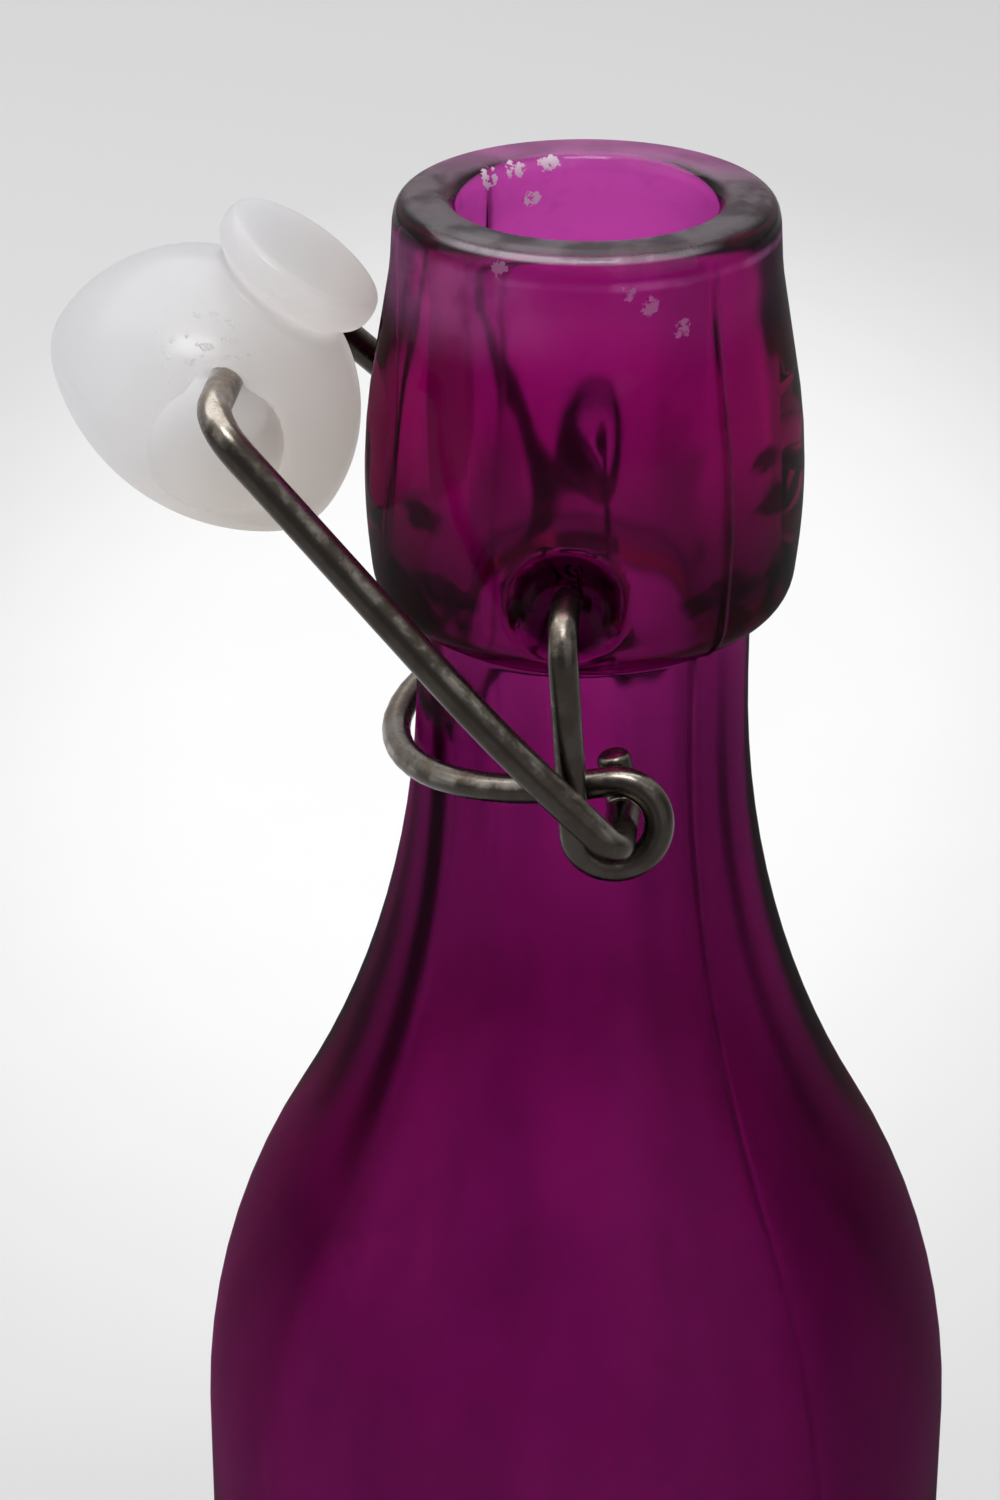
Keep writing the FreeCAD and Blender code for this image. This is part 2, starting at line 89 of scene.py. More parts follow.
class Bench:
    """The few bench operations that every piece goes through."""

    @staticmethod
    def clear() -> None:
        """Deselect everything in object mode."""
        if bpy.context.object and bpy.context.object.mode != "OBJECT":
            bpy.ops.object.mode_set(mode="OBJECT")
        bpy.ops.object.select_all(action="DESELECT")

    @staticmethod
    def pick(piece: bpy.types.Object) -> None:
        """Select one piece alone and make it active.

        Args:
            piece: the object to select.
        """
        Bench.clear()
        bpy.context.view_layer.objects.active = piece
        piece.select_set(True)

    @staticmethod
    def label(name: str) -> bpy.types.Object:
        """Name the object that was just added, and its data.

        Args:
            name: its name.

        Returns:
            The object.
        """
        piece = bpy.context.object
        piece.name = name
        piece.data.name = name
        return piece

    @staticmethod
    def edit(piece: bpy.types.Object) -> None:
        """Open one piece in edit mode with all its vertices picked.

        Args:
            piece: the object to edit.
        """
        Bench.pick(piece)
        bpy.ops.object.mode_set(mode="EDIT")
        bpy.ops.mesh.select_mode(type="VERT")
        bpy.ops.mesh.select_all(action="SELECT")

    @staticmethod
    def close(piece: bpy.types.Object) -> None:
        """Merge doubles, point the faces outwards, shade them smooth and leave edit mode.

        Args:
            piece: the object to finish.
        """
        Bench.edit(piece)
        bpy.ops.mesh.remove_doubles(threshold=MERGE_DISTANCE)
        bpy.ops.mesh.normals_make_consistent(inside=False)
        bpy.ops.mesh.faces_shade_smooth()
        bpy.ops.object.mode_set(mode="OBJECT")

    @staticmethod
    def apply(piece: bpy.types.Object, modifier: bpy.types.Modifier) -> None:
        """Apply one modifier to a piece."""
        Bench.pick(piece)
        bpy.ops.object.modifier_apply(modifier=modifier.name)

    @staticmethod
    def settle(piece: bpy.types.Object, place: Matrix) -> None:
        """Put a piece in its place and write that place into its mesh.

        Args:
            piece: the object, modelled about its own origin.
            place: where its origin goes.
        """
        Bench.pick(piece)
        piece.matrix_world = place
        bpy.ops.object.transform_apply(location=True, rotation=True, scale=True)

    @staticmethod
    def coat(piece: bpy.types.Object, material: bpy.types.Material) -> None:
        """Give a piece its one material."""
        piece.data.materials.clear()
        piece.data.materials.append(material)

    @staticmethod
    def mount(piece: bpy.types.Object, body: Body, slot: Slot, node: str) -> None:
        """Let a piece stand for a node and ride on a body.

        Args:
            piece: the finished object.
            body: the body it moves with.
            slot: not used.
            node: the node it stands for.
        """
        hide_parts(node)
        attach(piece, body.value)
        LOG.info("%s: %d faces on %s", piece.name, len(piece.data.polygons), body.value)


# Outlines and turning


@dataclass
class Outline:
    """A chain of (radius, height) points, drawn on from its last one in short steps."""

    points: list[Point]
    step: float

    def arc(self, end: Point, radius: float, turn: Turn) -> None:
        """Draw on along the shorter arc to a point.

        Args:
            end: where the arc ends.
            radius: its radius.
            turn: the way it turns.
        """
        start = Vector(self.points[-1])
        chord = Vector(end) - start
        half = chord.length / 2
        side = Vector((-chord.y, chord.x)).normalized()
        centre = start + chord / 2 + side * turn.value * math.sqrt(max(radius**2 - half**2, 0))
        sweep = 2 * math.asin(min(half / radius, 1)) * turn.value
        count = max(2, math.ceil(abs(sweep) * radius / self.step))
        spoke = start - centre
        for number in range(1, count + 1):
            angle = sweep * number / count
            across = spoke.x * math.cos(angle) - spoke.y * math.sin(angle)
            up = spoke.x * math.sin(angle) + spoke.y * math.cos(angle)
            self.points.append((centre.x + across, centre.y + up))

    def line(self, end: Point) -> None:
        """Draw on straight to a point.

        Args:
            end: where the run ends.
        """
        start = Vector(self.points[-1])
        run = Vector(end) - start
        count = max(1, math.ceil(run.length / self.step))
        self.points += [tuple(start + run * number / count) for number in range(1, count + 1)]


def soften(points: list[Point], passes: int) -> list[Point]:
    """Round an outline's corners as fire polishing does, its two ends kept.

    Args:
        points: evenly spaced points.
        passes: how often each point moves halfway to the middle of its neighbours.

    Returns:
        The softened points.
    """
    for _ in range(passes):
        inner = [
            ((a[0] + 2 * b[0] + c[0]) / 4, (a[1] + 2 * b[1] + c[1]) / 4)
            for a, b, c in zip(points, points[1:], points[2:])
        ]
        points = [points[0], *inner, points[-1]]
    return points


def thin_out(points: list[Point], turn: float, reach: Callable[[Point], float]) -> list[Point]:
    """Drop the points of an outline that its shape doesn't need.

    Args:
        points: the dense outline.
        turn: the largest change of direction between kept points, in radians.
        reach: gives the longest run allowed near a point.

    Returns:
        The kept points, the two ends among them.
    """
    kept = [points[0]]
    heading = None
    for here, after in zip(points[1:], points[2:]):
        last = Vector(kept[-1])
        ahead = Vector(after) - Vector(here)
        if heading is None:
            heading = Vector(here) - last
        bent = abs(heading.angle_signed(ahead, 0.0))
        if bent > turn or (Vector(after) - last).length > reach(here):
            kept.append(here)
            heading = ahead
    return [*kept, points[-1]]


@dataclass
class Lathe:
    """Turns an outline of (radius, height) points round the upright axis."""

    name: str
    outline: list[Point]
    start_angle: float = 0.0

    def draw(self) -> bpy.types.Object:
        """Draw the outline as a chain of edges.

        Returns:
            The object that holds the chain, in object mode.
        """
        direction = Vector((math.cos(self.start_angle), math.sin(self.start_angle), 0))
        places = [direction * radius + Vector((0, 0, height)) for radius, height in self.outline]
        Bench.clear()
        bpy.ops.mesh.primitive_plane_add(size=MM, location=(0, 0, 0))
        piece = Bench.label(self.name)
        Bench.edit(piece)
        bpy.ops.mesh.merge(type="CENTER")
        bpy.ops.transform.translate(value=places[0])
        for before, after in zip(places, places[1:]):
            bpy.ops.mesh.extrude_vertices_move(TRANSFORM_OT_translate={"value": after - before})
        bpy.ops.object.mode_set(mode="OBJECT")
        return piece

    def turn(self, piece: bpy.types.Object, runs: list[tuple[float, int]]) -> None:
        """Spin the drawn outline once round, in runs of their own fineness.

        Args:
            piece: the object that holds the chain.
            runs: the angle of each run in radians, and its number of steps.
        """
        Bench.edit(piece)
        for angle, steps in runs:
            bpy.ops.mesh.spin(steps=steps, angle=-angle, center=(0, 0, 0), axis=(0, 0, 1), dupli=False)
        Bench.close(piece)


# Glass bottle


@dataclass(frozen=True)
class Wave:
    """One slow wave of the inner wall, with lobes round the axis that twist as they rise."""

    share: float
    lobes: int
    phase: float
    twist: float

    def lift(self, angle: float, height: float) -> float:
        """The wave's share of the full height at a place."""
        return self.share * math.sin(self.lobes * angle + self.phase + self.twist * height)


@dataclass
class Bottle:
    """The bottle: one turned glass wall with pivot dimples, a mould seam and a wavy inner wall."""

    height: float = 188 * MM
    body_radius: float = 30.5 * MM
    body_wall: float = 3.2 * MM
    floor_thickness: float = 4 * MM
    heel_radius: float = 7 * MM
    inner_heel_radius: float = 8 * MM
    punt_depth: float = 4.5 * MM
    bearing_width: float = 4 * MM
    neck_radius: float = 12.7 * MM
    neck_drop: float = 38 * MM
    flare_radius: float = 80 * MM
    shoulder_angle: float = math.radians(30)
    bore_radius: float = 9.5 * MM
    bore_length: float = 44 * MM
    mouth_round: float = 1.5 * MM
    lip_radius: float = 14.15 * MM
    lip_round: float = 1.5 * MM
    lip_ring_drop: float = 5.5 * MM
    lip_ring_radius: float = 14.4 * MM
    collar_radius: float = 16 * MM
    collar_cone_drop: float = 15 * MM
    collar_round_drop: float = 28.6 * MM
    collar_drop: float = 32.4 * MM
    collar_barrel_radius: float = 52 * MM
    collar_round: float = 3.8 * MM
    pivot_drop: float = 26.2 * MM
    dimple_radius: float = 4.9 * MM
    dimple_floor_radius: float = 13.2 * MM
    dimple_edge: float = 0.9 * MM
    dimple_shade_depth: float = 2 * MM
    parting_drop: float = 2.3 * MM
    parting_height: float = 0.07 * MM
    parting_width: float = 0.3 * MM
    seam_angle: float = math.radians(-46)
    seam_height: float = 0.2 * MM
    seam_width: float = 0.28 * MM
    seam_foot: float = 100 * MM
    seam_rise: float = 40 * MM
    seam_least: float = 0.2
    seam_fade: float = 1 * MM
    seam_band: float = math.radians(6)
    seam_steps: int = 14
    half_steps: int = 116
    wave_height: float = 0.12 * MM
    wave_top: float = 180 * MM
    wave_fade: float = 20 * MM
    wave_middle: float = 10 * MM
    waves: tuple[Wave, ...] = (
        Wave(share=1.0, lobes=5, phase=0.7, twist=0.0),
        Wave(share=0.6, lobes=9, phase=2.1, twist=30.0),
        Wave(share=0.5, lobes=14, phase=0.0, twist=45.0),
        Wave(share=0.4, lobes=2, phase=0.0, twist=110.0),
    )
    fine_step: float = 0.25 * MM
    polish_passes: int = 5
    outline_turn: float = math.radians(4)
    dimple_run: float = 0.5 * MM
    longest_run: float = 3 * MM

    def outside(self) -> list[Point]:
        """The outer wall from the middle of the base up to the lip.

        Returns:
            Dense (radius, height) points.
        """
        rise = 1 - math.cos(self.shoulder_angle)
        run = math.sin(self.shoulder_angle)
        bearing = self.body_radius - self.heel_radius
        inner_bearing = bearing - self.bearing_width
        punt_radius = (inner_bearing**2 + self.punt_depth**2) / (2 * self.punt_depth)
        neck_foot = self.height - self.neck_drop
        bend = (self.neck_radius + self.flare_radius * rise, neck_foot - self.flare_radius * run)
        shoulder = (self.body_radius - bend[0]) / rise
        collar_round = (self.collar_radius, self.height - self.collar_round_drop)
        cone = (self.collar_radius, self.height - self.collar_cone_drop)
        outline = Outline([(0.0, self.punt_depth)], self.fine_step)
        outline.arc((inner_bearing, 0.0), punt_radius, Turn.RIGHT)
        outline.line((bearing, 0.0))
        outline.arc((self.body_radius, self.heel_radius), self.heel_radius, Turn.LEFT)
        outline.line((self.body_radius, bend[1] - shoulder * run))
        outline.arc(bend, shoulder, Turn.LEFT)
        outline.arc((self.neck_radius, neck_foot), self.flare_radius, Turn.RIGHT)
        outline.line((self.neck_radius, self.height - self.collar_drop))
        outline.arc(collar_round, self.collar_round, Turn.LEFT)
        outline.arc(cone, self.collar_barrel_radius, Turn.LEFT)
        outline.line((self.lip_ring_radius, self.height - self.lip_ring_drop))
        outline.line((self.lip_radius, self.height - self.lip_round))
        outline.arc((self.lip_radius - self.lip_round, self.height), self.lip_round, Turn.LEFT)
        return outline.points

    def inside(self, lip: Point) -> list[Point]:
        """The inner wall from the lip down to the middle of the floor.

        Args:
            lip: the last point of the outer wall.

        Returns:
            Dense (radius, height) points after the lip.
        """
        rise = 1 - math.cos(self.shoulder_angle)
        run = math.sin(self.shoulder_angle)
        cavity = self.body_radius - self.body_wall
        bore_foot = self.height - self.bore_length
        bend = (self.bore_radius + self.flare_radius * rise, bore_foot - self.flare_radius * run)
        shoulder = (cavity - bend[0]) / rise
        crown = self.punt_depth + self.floor_thickness
        dip = self.punt_depth / 2
        floor_radius = cavity - self.inner_heel_radius
        floor_curve = (floor_radius**2 + dip**2) / (2 * dip)
        outline = Outline([lip], self.fine_step)
        outline.line((self.bore_radius + self.mouth_round, self.height))
        outline.arc((self.bore_radius, self.height - self.mouth_round), self.mouth_round, Turn.LEFT)
        outline.line((self.bore_radius, bore_foot))
        outline.arc(bend, self.flare_radius, Turn.LEFT)
        outline.arc((cavity, bend[1] - shoulder * run), shoulder, Turn.RIGHT)
        outline.line((cavity, crown - dip + self.inner_heel_radius))
        outline.arc((floor_radius, crown - dip), self.inner_heel_radius, Turn.RIGHT)
        outline.arc((0.0, crown), floor_curve, Turn.LEFT)
        return outline.points[1:]

    def reach(self, point: Point) -> float:
        """The longest run between outline points, short where the dimples are.

        Args:
            point: a (radius, height) point of the outline.

        Returns:
            A length in metres.
        """
        near_dimple = abs(point[1] - self.height + self.pivot_drop) < self.dimple_radius + self.dimple_edge
        return self.dimple_run if near_dimple and point[0] > self.neck_radius else self.longest_run

    def build(self) -> bpy.types.Object:
        """Turn the wall and work its dimples, seams and waves.

        Returns:
            The bottle's object.
        """
        outside = soften(self.outside(), self.polish_passes)
        outline = soften(outside + self.inside(outside[-1]), self.polish_passes)
        outside_count = len(outside)
        outer = thin_out(outline[:outside_count], self.outline_turn, self.reach)
        inner = thin_out(outline[outside_count:], self.outline_turn, self.reach)
        lathe = Lathe("glass_wall", outer + inner, self.seam_angle - self.seam_band / 2)
        piece = lathe.draw()
        group = piece.vertex_groups.new(name="outside")
        group.add(list(range(len(outer))), 1.0, "ADD")
        half = (math.pi - self.seam_band, self.half_steps)
        lathe.turn(piece, [(self.seam_band, self.seam_steps), half] * 2)
        self.work(piece, group.index)
        return piece

    def work(self, piece: bpy.types.Object, outside: int) -> None:
        """Press the dimples, raise the seams and let the inner wall wander.

        Args:
            piece: the turned wall.
            outside: the index of the vertex group that holds the outer wall.
        """
        mesh = piece.data
        for name in ("coat", "dimple_shade", "seam"):
            mesh.attributes.new(name, "FLOAT", "POINT")
        coat, dimple_shade, seam = (mesh.attributes[name].data for name in ("coat", "dimple_shade", "seam"))
        for vertex in mesh.vertices:
            radius = math.hypot(vertex.co.x, vertex.co.y)
            if radius < MERGE_DISTANCE:
                continue
            angle = math.atan2(vertex.co.y, vertex.co.x)
            if any(link.group == outside for link in vertex.groups):
                worked = self.outer_radius(radius, angle, vertex.co.z)
                coat[vertex.index].value = 1.0
                seam[vertex.index].value = self.seam_share(radius, angle, vertex.co.z)
                # how deep the dimple is pressed here, the mask for the painted shade in the dimples
                dimple_shade[vertex.index].value = min(1.0, max(0.0, (radius - worked) / self.dimple_shade_depth))
            else:
                worked = self.inner_radius(radius, angle, vertex.co.z)
            vertex.co.x *= worked / radius
            vertex.co.y *= worked / radius
        piece.vertex_groups.clear()
        mesh.update()

    def outer_radius(self, radius: float, angle: float, height: float) -> float:
        """The outer wall's radius with dimples, seams and the parting line.

        Args:
            radius: the turned radius.
            angle: the angle round the axis.
            height: the height above the base.

        Returns:
            The worked radius.
        """
        pivot = self.height - self.pivot_drop
        centre = self.dimple_floor_radius + self.dimple_radius
        for side in (-math.pi / 2, math.pi / 2):
            facing = math.cos(angle - side)
            gap = (centre * facing) ** 2 - centre**2 - (height - pivot) ** 2 + self.dimple_radius**2
            if facing > 0 and gap > 0:
                radius = self.blend_down(radius, centre * facing - math.sqrt(gap))
        radius += self.seam_height * self.seam_share(radius, angle, height)
        parting = (height - self.height + self.parting_drop) / self.parting_width
        return radius + self.parting_height * math.exp(-(parting**2))

    def seam_share(self, radius: float, angle: float, height: float) -> float:
        """How strongly a place lies on one of the two mould seams, which end at the parting line.

        Args:
            radius: the turned radius.
            angle: the angle round the axis.
            height: the height above the base.

        Returns:
            A share from 0 to 1.
        """
        if height < self.heel_radius:
            return 0.0
        aside = radius * math.sin(angle - self.seam_angle) / self.seam_width
        fade = min(1.0, max(0.0, (self.height - self.parting_drop - height) / self.seam_fade))
        blown = min(1.0, max(self.seam_least, (height - self.seam_foot) / self.seam_rise))
        return math.exp(-(aside**2)) * fade * blown

    def blend_down(self, wall: float, ball: float) -> float:
        """The smaller of two radii, with a round edge where they cross.

        Args:
            wall: the turned wall's radius.
            ball: the dimple ball's radius at the same place.

        Returns:
            The blended radius.
        """
        share = max(self.dimple_edge - abs(wall - ball), 0.0) / self.dimple_edge
        return min(wall, ball) - share * share * self.dimple_edge / 4

    def inner_radius(self, radius: float, angle: float, height: float) -> float:
        """The inner wall's radius with the slow waves of blown glass.

        Args:
            radius: the turned radius.
            angle: the angle round the axis.
            height: the height above the base.

        Returns:
            The worked radius.
        """
        fade = min(1.0, max(0.0, (self.wave_top - height) / self.wave_fade))
        fade *= min(1.0, radius / self.wave_middle)
        lift = sum(wave.lift(angle, height) for wave in self.waves)
        return radius + self.wave_height * fade * lift

    def dress(self, piece: bpy.types.Object) -> None:
        """Give the bottle its glass and mount it."""
        Bench.coat(piece, GlassFinish().material())
        Bench.mount(piece, Body.BOTTLE, Slot.GLASS, "glass_bottle")


# Bent wires


@dataclass
class Wire:
    """A round wire, bent station by station as on a bending jig, with rounded ends."""

    name: str
    radius: float
    sides: int = 24
    bend_step: float = math.radians(7.5)
    end_round: float = 0.45
    end_steps: int = 4
    ring_slack: float = 0.01 * MM
    straight_slack: float = 1e-5
    parallel_slack: float = 1e-9

    def build(self, stations: list[Station]) -> bpy.types.Object:
        """Draw the wire through its stations.

        Args:
            stations: places on the wire and the heading at each.

        Returns:
            The wire's object.
        """
        place, heading = stations[0]
        depth = self.radius * self.end_round
        self.start(place + heading * depth, heading)
        piece = bpy.context.object
        self.round_end(place + heading * depth, -heading, depth)
        self.pick_ring(piece, place + heading * depth, heading)
        here = place + heading * depth
        for (_, before), (end, after) in zip(stations, stations[1:]):
            last = end is stations[-1][0]
            target = end - after * depth if last else end
            self.run(here, before, target, after)
            here = target
        self.round_end(here, stations[-1][1], depth)
        Bench.close(piece)
        return piece

    def start(self, place: Vector, heading: Vector) -> None:
        """Lay down the first ring and open it for editing.

        Args:
            place: the ring's middle.
            heading: the wire's way there.
        """
        Bench.clear()
        turn = heading.to_track_quat("Z", "Y").to_euler()
        bpy.ops.mesh.primitive_circle_add(
            vertices=self.sides, radius=self.radius, location=place, rotation=turn, fill_type="NOTHING"
        )
        piece = Bench.label(self.name)
        bpy.ops.object.transform_apply(location=True, rotation=True, scale=True)
        Bench.edit(piece)

    def pick_ring(self, piece: bpy.types.Object, place: Vector, heading: Vector) -> None:
        """Pick the ring of full radius at a place.

        Args:
            piece: the wire.
            place: the ring's middle.
            heading: the wire's way there.
        """
        bpy.ops.object.mode_set(mode="OBJECT")
        for part in (*piece.data.polygons, *piece.data.edges, *piece.data.vertices):
            part.select = False
        for vertex in piece.data.vertices:
            away = vertex.co - place
            on_ring = abs(away.length - self.radius) < self.ring_slack
            vertex.select = abs(away.dot(heading)) < self.ring_slack and on_ring
        bpy.ops.object.mode_set(mode="EDIT")

    def round_end(self, place: Vector, heading: Vector, depth: float) -> None:
        """Round the wire's end off from the picked ring and close it.

        Args:
            place: the ring's middle.
            heading: the way out of the wire.
            depth: how far the rounding stands out.
        """
        before = 1.0
        for step in range(1, self.end_steps + 1):
            angle = math.pi / 2 * step / self.end_steps
            lift = math.sin(angle) - math.sin(angle - math.pi / 2 / self.end_steps)
            share = 1 - self.end_round * (1 - math.cos(angle))
            bpy.ops.mesh.extrude_region_move(TRANSFORM_OT_translate={"value": heading * depth * lift})
            middle = place + heading * depth * math.sin(angle)
            bpy.ops.transform.resize(value=(share / before,) * 3, center_override=middle)
            before = share
        bpy.ops.mesh.edge_face_add()

    def run(self, start: Vector, heading: Vector, end: Vector, last_heading: Vector) -> None:
        """Carry the picked ring from one station to the next.

        Args:
            start: where the ring is.
            heading: the wire's way there.
            end: where it goes.
            last_heading: the wire's way there.
        """
        chord = end - start
        aside = max(heading.cross(chord).length, last_heading.cross(chord).length)
        if aside < chord.length * self.straight_slack:
            bpy.ops.mesh.extrude_region_move(TRANSFORM_OT_translate={"value": chord})
            return
        bend = 1 - heading.dot(last_heading)
        pull = chord.dot(heading + last_heading)
        if bend < self.parallel_slack:
            reach = chord.length_squared / (2 * pull)
        else:
            reach = (math.sqrt(pull**2 + 2 * bend * chord.length_squared) - pull) / (2 * bend)
        meeting = (start + heading * reach + end - last_heading * reach) / 2
        middle_heading = self.arc(start, heading, meeting)
        self.arc(meeting, middle_heading, end)

    def arc(self, start: Vector, heading: Vector, end: Vector) -> Vector:
        """Spin the picked ring along an arc.

        Args:
            start: where the ring is.
            heading: the wire's way there.
            end: where the arc ends.

        Returns:
            The wire's way at the end.
        """
        chord = end - start
        along = chord.normalized()
        half_turn = heading.angle(chord)
        if half_turn < self.straight_slack:
            bpy.ops.mesh.extrude_region_move(TRANSFORM_OT_translate={"value": chord})
            return heading
        axis = heading.cross(chord).normalized()
        radius = chord.length / (2 * math.sin(half_turn))
        centre = start + axis.cross(heading) * radius
        steps = max(2, math.ceil(2 * half_turn / self.bend_step))
        bpy.ops.mesh.spin(steps=steps, angle=-2 * half_turn, center=centre, axis=axis, dupli=False)
        return along * (2 * along.dot(heading)) - heading


def both_sides(stations: list[Station]) -> list[Station]:
    """A wire alike on both sides of the XZ plane.

    Args:
        stations: the near half, the last one on the plane.

    Returns:
        The near half, then the far half in the way of travel.
    """
    far = [
        (Vector((place.x, -place.y, place.z)), Vector((-heading.x, heading.y, -heading.z)))
        for place, heading in reversed(stations[:-1])
    ]
    return stations + far


@dataclass
class Lever:
    """The lever wire: pins in the dimples, arms, one-turn eyes and a thumb loop round the neck."""

    wire_radius: float = 1.1 * MM
    pivot_height: float = 161.8 * MM
    pin_end: float = 13.55 * MM
    arm_offset: float = 19.5 * MM
    bend: float = 3.2 * MM
    eye_across: float = 4.1 * MM
    eye_below: float = 15.9 * MM
    eye_radius: float = 3.05 * MM
    eye_pitch: float = 2.4 * MM
    eye_steps: int = 4
    loop_slope: float = math.radians(12.2)
    loop_end: float = 14.3 * MM

    def eye(self, centre: Vector, first: float, last: float) -> list[Station]:
        """Stations round the near eye, which winds inwards.

        Args:
            centre: the eye's middle.
            first: the angle at which the arm meets it.
            last: the angle at which the loop leaves it.

        Returns:
            The stations of the turn.
        """
        stations = []
        for step in range(self.eye_steps + 1):
            share = step / self.eye_steps
            angle = first + (last - first) * share
            inwards = self.eye_pitch * (1 - math.cos(math.pi * share)) / 2
            rate = self.eye_pitch * math.pi * math.sin(math.pi * share) / 2 / (last - first)
            spoke = Vector((math.cos(angle), 0, math.sin(angle))) * self.eye_radius
            way = Vector((-self.eye_radius * math.sin(angle), rate, self.eye_radius * math.cos(angle)))
            stations.append((centre + spoke + OUTWARDS * (self.arm_offset - inwards), way.normalized()))
        return stations

    def stations(self) -> list[Station]:
        """The whole wire about its pivot.

        Returns:
            Its stations, from one pin's end to the other's.
        """
        eye = Vector((self.eye_across, 0, -self.eye_below))
        lean = math.atan2(eye.x, -eye.z) - math.asin(self.eye_radius / eye.length)
        down = Vector((math.sin(lean), 0, -math.cos(lean)))
        away = Vector((-math.cos(self.loop_slope), 0, -math.sin(self.loop_slope)))
        corner = OUTWARDS * self.arm_offset
        turn = self.eye(eye, math.pi + lean, 2.5 * math.pi + self.loop_slope)
        leaving = turn[-1][0]
        half_width = -leaving.y
        loop_run = (leaving.x + self.loop_end) / math.cos(self.loop_slope)
        half = [
            (OUTWARDS * self.pin_end, OUTWARDS),
            (corner - OUTWARDS * self.bend, OUTWARDS),
            (corner + down * self.bend, down),
            *turn,
            (leaving + away * (loop_run - half_width), away),
            (leaving + away * loop_run - OUTWARDS * half_width, -OUTWARDS),
        ]
        return both_sides(half)

    def build(self) -> bpy.types.Object:
        """Bend the lever and put it on its pivot.

        Returns:
            The lever's object.
        """
        piece = Wire("lever", self.wire_radius).build(self.stations())
        Bench.settle(piece, Matrix.Translation((0, 0, self.pivot_height)))
        return piece

    def dress(self, piece: bpy.types.Object, material: bpy.types.Material) -> None:
        """Give the lever the wires' finish and mount it."""
        Bench.coat(piece, material)
        Bench.mount(piece, Body.LEVER, Slot.STEEL, "lever_wire")


@dataclass
class Bail:
    """The bail wire: hooks in the lever's eyes, arms that draw in and the stopper's crosspiece."""

    wire_radius: float = 1.25 * MM
    hook: float = 14.45 * MM
    arm: float = 22.15 * MM
    bend: float = 1.6 * MM
    hook_length: float = 4.4 * MM
    hook_turn: float = math.radians(33)
    length: float = 42.2 * MM
    straight: float = 12 * MM
    top_half: float = 15.6 * MM
    top_bend: float = 4 * MM
    hook_across: float = 4.34749 * MM
    hook_height: float = 145.65251 * MM
    lean: float = math.radians(45.319237)

    def stations(self) -> list[Station]:
        """The whole wire about its hooks.

        Returns:
            Its stations, from one hook's end to the other's.
        """
        taper = math.atan2(self.arm - self.top_half, self.length - self.straight)
        up = Vector((0, 0, 1))
        inwards = Vector((0, math.sin(taper), math.cos(taper)))
        hook_up = Vector((math.sin(self.hook_turn), 0, math.cos(self.hook_turn)))
        hook_corner = OUTWARDS * self.hook
        arm_corner = OUTWARDS * self.arm
        taper_corner = arm_corner + up * self.straight
        taper_reach = self.straight / 2
        top_corner = taper_corner + inwards * ((self.length - self.straight) / math.cos(taper))
        top_reach = self.top_bend * math.tan((math.pi / 2 - taper) / 2)
        half = [
            (hook_corner + hook_up * self.hook_length, -hook_up),
            (hook_corner + hook_up * self.bend, -hook_up),
            (hook_corner + OUTWARDS * self.bend, OUTWARDS),
            (arm_corner - OUTWARDS * self.bend, OUTWARDS),
            (arm_corner + up * self.bend, up),
            (taper_corner - up * taper_reach, up),
            (taper_corner + inwards * taper_reach, inwards),
            (top_corner - inwards * top_reach, inwards),
            (top_corner - OUTWARDS * top_reach, -OUTWARDS),
            (up * self.length, -OUTWARDS),
        ]
        return both_sides(half)

    def place(self) -> Matrix:
        """Where the bail stands: on its hooks, leaning towards -X."""
        lean = Matrix.Rotation(-self.lean, 4, "Y")
        return Matrix.Translation((self.hook_across, 0, self.hook_height)) @ lean

    def crosspiece(self) -> Vector:
        """The middle of the crosspiece, which the stopper hangs on."""
        return self.place() @ Vector((0, 0, self.length))

    def build(self) -> bpy.types.Object:
        """Bend the bail and stand it in the eyes.

        Returns:
            The bail's object.
        """
        piece = Wire("bail", self.wire_radius).build(self.stations())
        Bench.settle(piece, self.place())
        return piece

    def dress(self, piece: bpy.types.Object, material: bpy.types.Material) -> None:
        """Give the bail the wires' finish and mount it."""
        Bench.coat(piece, material)
        Bench.mount(piece, Body.BAIL, Slot.STEEL, "bail_wire")


# Stopper


